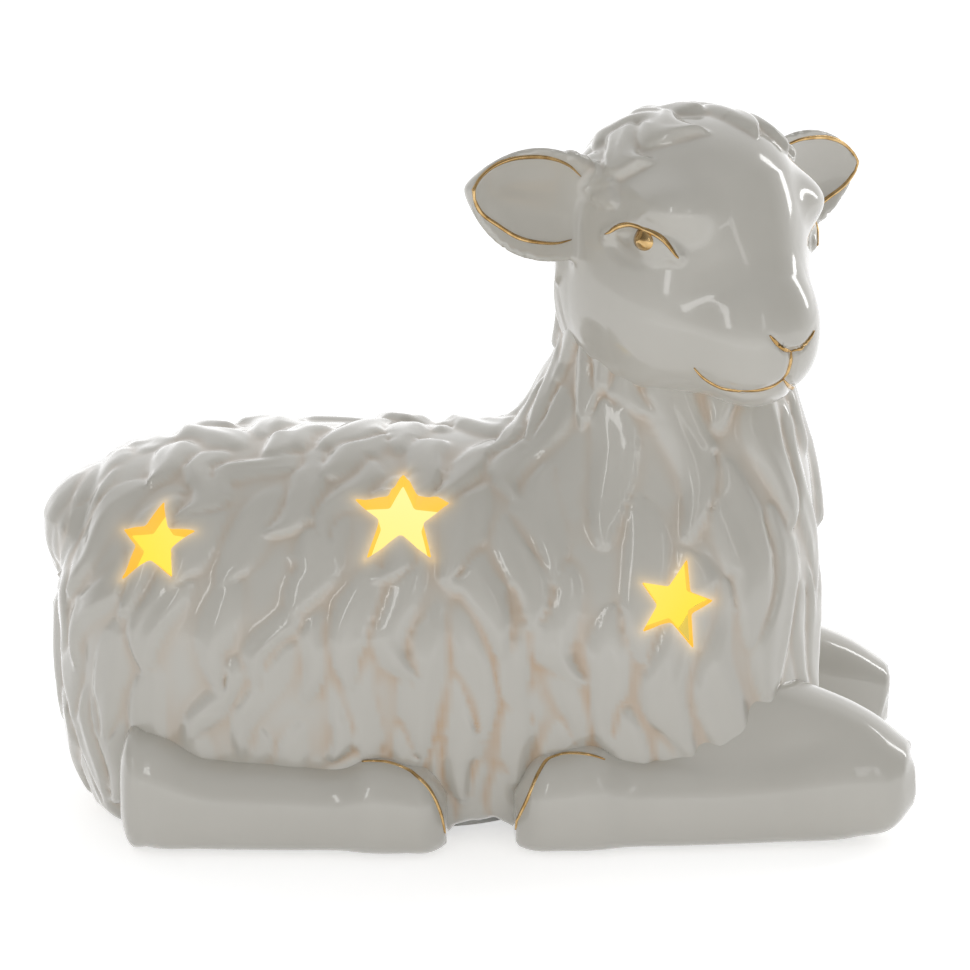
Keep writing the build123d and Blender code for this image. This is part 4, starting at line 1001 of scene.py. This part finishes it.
def on_face(path, side):
    """Points given on the right half of the face, taken to one side of it."""
    path = np.asarray(path, float)
    return from_head(np.stack([path[:, 0], side * path[:, 1] + nose_bend(path[:, 0]), path[:, 2]], axis=1))


print("ear line", len(EAR_LINE), "points, hoof lines", len(HIND_HOOF), "and", len(FORE_HOOF))

# %% Brush the gold
LID_WIDTH, LIP_WIDTH, LINE_WIDTH, HOOF_WIDTH = 1.15, 0.85, 0.95, 0.9  # mm
eyes, mouth, ears, hooves = [], [], [], []
on_head, on_ear = drop_on(head), lay_close(bare_head)
for side in (1, -1):
    eyes.append(gold_line(on_head, bare_head, on_face(LID_LINE, side), LID_WIDTH))
    eyes.append(gold_bead(on_head, bare_head, on_face([IRIS], side), IRIS_RADIUS, IRIS_STRETCH))
    mouth.append(gold_line(on_head, bare_head, on_face(NOSE_LINE, side), LIP_WIDTH))
    mouth.append(gold_line(on_head, bare_head, on_face(MOUTH_LINE, side), LINE_WIDTH))
    ears.append(gold_line(on_ear, bare_head, from_head(np.asarray(EAR_LINE) * (1, side, 1)), LINE_WIDTH, 110))
    for form, path in ((hindleg_form, HIND_HOOF), (foreleg_form, FORE_HOOF)):
        leg_form = form if side == 1 else mirrored(form)
        hooves.append(gold_line(lay_close(leg_form), leg_form, np.asarray(path) * (1, side, 1), HOOF_WIDTH))
mouth.append(gold_line(on_head, bare_head, on_face(LIP_LINE, 1), LIP_WIDTH))
gilding = [gold_piece("eye_gold", eyes), gold_piece("mouth_gold", mouth), gold_piece("ear_gold", ears),
           gold_piece("hoof_gold", hooves)]


# %% [markdown]
# ## Glaze
# One clear glaze over white porcelain. The grooves are painted a darker warm colour: painted shade in the creases,
# and painted glow where the light inside would show through the thin clay. One shader with a coat does both: the
# body gives the colour, the coat the wet shine.

# %% Glaze
def glazed_porcelain(material):
    material.use_nodes = True
    tree = material.node_tree
    shader = tree.nodes["Principled BSDF"]
    shader.inputs["IOR"].default_value = 1.5
    shader.inputs["Coat Weight"].default_value = 1.0
    shader.inputs["Coat Roughness"].default_value = 0.03
    groove_shade_glow, glow = tree.nodes.new("ShaderNodeAttribute"), tree.nodes.new("ShaderNodeAttribute")
    groove_shade_glow.attribute_name, glow.attribute_name = "groove_shade_glow", "glow"
    body = ramp_node(tree, grain(tree, 60, 4), [(0.3, (0.65, 0.627, 0.566)), (0.7, (0.675, 0.652, 0.592))])
    # painted shade and glow: the glaze turns towards a darker peach in the grooves
    shade_glow_mix = tree.nodes.new("ShaderNodeMix")
    shade_glow_mix.data_type = "RGBA"
    shade_glow_mix.inputs["B"].default_value = (0.64, 0.45, 0.28, 1)
    tree.links.new(body, shade_glow_mix.inputs["A"])
    tree.links.new(groove_shade_glow.outputs["Fac"], shade_glow_mix.inputs["Factor"])
    tree.links.new(shade_glow_mix.outputs["Result"], shader.inputs["Base Color"])
    shader.inputs["Emission Color"].default_value = (1.0, 0.60, 0.12, 1)
    tree.links.new(joined(tree, "MULTIPLY", glow.outputs["Fac"], 0.38), shader.inputs["Emission Strength"])
    rough = spanned(tree, grain(tree, 140, 3), to_min=0.10, to_max=0.19)
    tree.links.new(rough, shader.inputs["Roughness"])
    bump(tree, shader, grain(tree, 220, 2), 0.08, 0.0006)


glazed_porcelain(glaze)
bare = [piece for piece in bpy.context.scene.objects if piece.type == "MESH" and not piece.data.materials]
for piece in bare:
    if piece.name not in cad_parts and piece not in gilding:
        piece.data.materials.append(glaze)
print("glazed", glaze.users, "pieces")


# %% [markdown]
# ## Metals and plastics
# Real metal and plastic are never quite even. Flat colours would do for small parts, but a fine grain that
# varies colour, roughness and bump holds up close to the camera. Each recipe serves several finishes.

# %% Metal and moulded finishes
def mix(tree, factor, colour_a, colour_b):
    return ramp_node(tree, factor, [(0.35, colour_a), (0.65, colour_b)])


def metal(name, dark, pale, roughness, scale, stretch=(1, 1, 1)):
    """Metal with faint brushing or wear: colour, roughness and bump come from one stretched grain."""
    material, tree, shader = new_material(name)
    shader.inputs["Metallic"].default_value = 1.0
    sized = tree.nodes.new("ShaderNodeMapping")
    sized.inputs["Scale"].default_value = stretch
    tree.links.new(object_place(tree), sized.inputs["Vector"])
    wear = grain(tree, scale, 4, sized.outputs["Vector"])
    tree.links.new(mix(tree, wear, dark, pale), shader.inputs["Base Color"])
    rough = spanned(tree, wear, to_min=0.7 * roughness, to_max=1.3 * roughness)
    tree.links.new(rough, shader.inputs["Roughness"])
    bump(tree, shader, wear, 0.12, 0.0002)
    return material


def moulded(name, dark, pale, roughness, scale=1600, relief=0.25):
    """Moulded plastic or rubber: a fine spark-eroded grain and slightly uneven colour."""
    material, tree, shader = new_material(name)
    tree.links.new(mix(tree, grain(tree, 90, 4), dark, pale), shader.inputs["Base Color"])
    rough = spanned(tree, grain(tree, 300, 3), to_min=0.8 * roughness, to_max=1.2 * roughness)
    tree.links.new(rough, shader.inputs["Roughness"])
    bump(tree, shader, grain(tree, scale, 2), relief, 0.0002)
    return material


gold = metal("gold_lustre", (0.44, 0.27, 0.10), (0.72, 0.50, 0.24), 0.14, 420)
for piece in gilding:
    piece.data.materials.append(gold)
print("gilded", len(gilding), "pieces")


# %% Lamp and resistor finishes
def glowing(name, near, far, strength):
    """A lamp body: brightest in patches where the phosphor is thick."""
    material, tree, shader = new_material(name)
    tone = mix(tree, grain(tree, 900, 2), near, far)
    tree.links.new(tone, shader.inputs["Base Color"])
    tree.links.new(tone, shader.inputs["Emission Color"])
    shader.inputs["Emission Strength"].default_value = strength
    shader.inputs["Roughness"].default_value = 0.3
    return material


def banded(name, body, bands, low, high):
    """A resistor: colour rings along its length."""
    material, tree, shader = new_material(name)
    split = tree.nodes.new("ShaderNodeSeparateXYZ")
    tree.links.new(object_place(tree), split.inputs["Vector"])
    axis = int(np.argmax(np.asarray(high) - np.asarray(low)))
    along = spanned(tree, split.outputs[axis], from_min=low[axis], from_max=high[axis])
    stops = [(0.0, body)]
    for place, colour in bands:
        stops += [(place, colour), (place + 0.055, body)]
    tone = ramp_node(tree, along, stops)
    tone.node.color_ramp.interpolation = "CONSTANT"
    tree.links.new(tone, shader.inputs["Base Color"])
    shader.inputs["Roughness"].default_value = 0.4
    bump(tree, shader, grain(tree, 1500, 2), 0.2, 0.0002)
    return material


# %% [markdown]
# ## The light unit
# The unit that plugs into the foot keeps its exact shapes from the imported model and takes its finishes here:
# grained white housing, soft grey ring, frosted dome, laminate board and bright metal. It could be modelled
# again, but its shapes are already exact.

# %% Finish the light unit
steel = metal("bright_steel", (0.50, 0.50, 0.49), (0.66, 0.66, 0.65), 0.24, 300, (1, 6, 1))
spring = metal("nickel_spring", (0.55, 0.52, 0.45), (0.70, 0.67, 0.60), 0.22, 260, (6, 1, 1))
white_plastic = moulded("white_housing_plastic", (0.66, 0.66, 0.64), (0.72, 0.72, 0.70), 0.45)
FINISHES = {
    "light_housing": white_plastic,
    "battery_door": moulded("door_plastic", (0.64, 0.64, 0.62), (0.71, 0.71, 0.69), 0.5),
    "grip_ring": moulded("silicone", (0.40, 0.41, 0.42), (0.46, 0.47, 0.48), 0.62, 900, 0.3),
    "lens_dome": moulded("frosted_dome", (0.74, 0.72, 0.64), (0.80, 0.78, 0.70), 0.55, 2400, 0.4),
    "circuit_board": moulded("board_laminate", (0.02, 0.14, 0.06), (0.03, 0.20, 0.09), 0.38, 500, 0.35),
    "leds": glowing("warm_lamp", (1.0, 0.78, 0.30), (1.0, 0.66, 0.16), 2.0),
    "resistor": banded("resistor_bands", (0.56, 0.42, 0.24), [(0.32, (0.30, 0.10, 0.03)), (0.44, (0.02, 0.02, 0.02)),
                       (0.56, (0.45, 0.05, 0.03)), (0.70, (0.60, 0.40, 0.10))], *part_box("resistor")),
    "switch_body": metal("switch_can", (0.42, 0.42, 0.43), (0.56, 0.56, 0.57), 0.3, 400, (1, 4, 1)),
    "switch_slider": moulded("slider_plastic", (0.035, 0.035, 0.038), (0.055, 0.055, 0.06), 0.42),
    "lower_coin_cell": steel,
    "upper_coin_cell": metal("cell_can", (0.56, 0.56, 0.56), (0.70, 0.70, 0.70), 0.2, 340, (5, 1, 1)),
    "positive_contact": spring,
    "negative_contact": spring,
    "board_screws": metal("screw_steel", (0.45, 0.45, 0.44), (0.62, 0.62, 0.61), 0.28, 900),
    "door_screw": metal("door_screw_steel", (0.40, 0.40, 0.40), (0.60, 0.60, 0.59), 0.3, 900),
}
for node, finish in FINISHES.items():
    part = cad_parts[node]
    for slot in part.material_slots:
        slot.material = finish
    if not part.material_slots:
        part.data.materials.append(finish)
print("finished", len(FINISHES), "nodes of the light unit")


# %% [markdown]
# ## Camera
# The view is from the lamb's right side and a little above. From close by, the near legs would look too big,
# so a long lens stands well back.

# %% Camera
scene = bpy.context.scene
scene.view_settings.view_transform = "Standard"
camera = bpy.data.objects.new("camera", bpy.data.cameras.new("camera"))
scene.collection.objects.link(camera)
scene.camera = camera
camera.data.sensor_width = 36
DISTANCE, ELEVATION = 0.85, math.radians(15)
target = np.array([0.0025, 0.0, 0.0609])
camera.location = (target[0], -DISTANCE * math.cos(ELEVATION), target[2] + DISTANCE * math.sin(ELEVATION))
camera.rotation_euler = (math.pi / 2 - ELEVATION, 0, 0)
camera.data.lens = 36 * DISTANCE / (970 / 5290)
print("lens", round(camera.data.lens), "mm")


# %% [markdown]
# ## Lamps
# Tall soft boxes leave thin window shapes on the glaze, as windows do. A low card in front brightens the legs;
# it is hidden from reflections, because a real card would stand out of their way.

# %% Lamps
def softbox(name, place, aim, size, power):
    data = bpy.data.lights.new(name, "AREA")
    data.shape, data.size, data.size_y, data.energy = "RECTANGLE", size[0], size[1], power
    lamp = bpy.data.objects.new(name, data)
    scene.collection.objects.link(lamp)
    lamp.location = place
    run = np.asarray(aim) - np.asarray(place)
    lamp.rotation_euler = (math.acos(-run[2] / np.linalg.norm(run)), 0, math.atan2(run[1], run[0]) - math.pi / 2)
    return lamp


softbox("left_window", (-0.42, -0.95, 0.50), (0, 0, 0.06), (0.10, 0.5), 0.40)
softbox("right_window", (0.50, -0.90, 0.45), (0, 0, 0.06), (0.10, 0.4), 0.12)
softbox("front_card", (0.0, -0.50, 0.04), (0, 0, 0.03), (0.8, 0.08), 0.40).visible_glossy = False
softbox("right_strip", (0.85, 0.45, 0.50), (0, 0, 0.06), (0.12, 0.6), 1.0)


# %% [markdown]
# ## Light tent
# Glaze shows what stands round it. A picture of a room could do that; a tent of a few greys is plainer: dim in
# front, pale behind. The camera sees plain white, and so do mirrored rays that look towards the backdrop.

# %% Light tent
world = bpy.data.worlds.new("tent")
scene.world = world
world.use_nodes = True
tree = world.node_tree
background = tree.nodes["Background"]
background.inputs["Color"].default_value = (1, 1, 1, 1)
path = tree.nodes.new("ShaderNodeLightPath")
where = tree.nodes.new("ShaderNodeTexCoord")
split = tree.nodes.new("ShaderNodeSeparateXYZ")
tree.links.new(where.outputs["Generated"], split.inputs["Vector"])
turn = tree.nodes.new("ShaderNodeMapRange")
turn.inputs["From Min"].default_value = -1.0
tree.links.new(split.outputs["Y"], turn.inputs["Value"])
walls = ramp_node(tree, turn.outputs["Result"],
                  [(0.0, (0.36,) * 3), (0.25, (0.20,) * 3), (0.5, (0.14,) * 3), (0.74, (0.70,) * 3), (1.0, (1.0,) * 3)])
roof = ramp_node(tree, split.outputs["Z"],
                 [(0.0, (0.42,) * 3), (0.3, (0.06,) * 3), (0.55, (0.06,) * 3), (1.0, (0.30,) * 3)])
tent = joined(tree, "ADD", walls, roof)
backdrop = ramp_node(tree, turn.outputs["Result"], [(0.74, (0, 0, 0)), (0.90, (1, 1, 1))])


def mirror_rays(tree, path):
    return joined(tree, "MAXIMUM", path.outputs["Is Glossy Ray"], path.outputs["Is Transmission Ray"])


backed = joined(tree, "MULTIPLY", mirror_rays(tree, path), backdrop)
shown = joined(tree, "MAXIMUM", path.outputs["Is Camera Ray"], backed)
tree.links.new(joined(tree, "MAXIMUM", shown, tent), background.inputs["Strength"])
print("tent of", len(tree.nodes), "nodes")


# %% [markdown]
# ## Floor
# A white floor that keeps the shadow. More lamps would burn out the lamb, so the floor itself is lifted, and
# only for what the camera and mirrored rays see of it.

# %% Floor
FLOOR_REACH, FLOOR_LIFT = 4000, 0.60
corners = [(-1, -1, 0), (1, -1, 0), (1, 1, 0), (-1, 1, 0)]
floor = make_piece("floor", [(FLOOR_REACH * a, FLOOR_REACH * b, c) for a, b, c in corners], [(0, 1, 2, 3)])
floor_material, tree, shader = new_material("studio_floor")
shader.inputs["Base Color"].default_value = (0.9, 0.9, 0.9, 1)
shader.inputs["Roughness"].default_value = 0.9
shader.inputs["Specular IOR Level"].default_value = 0.0
shader.inputs["Emission Color"].default_value = (1, 1, 1, 1)
path = tree.nodes.new("ShaderNodeLightPath")
seen = joined(tree, "MAXIMUM", path.outputs["Is Camera Ray"], mirror_rays(tree, path))
tree.links.new(joined(tree, "MULTIPLY", seen, FLOOR_LIFT), shader.inputs["Emission Strength"])
floor.data.materials.append(floor_material)
print("floor", 2 * FLOOR_REACH, "mm wide")
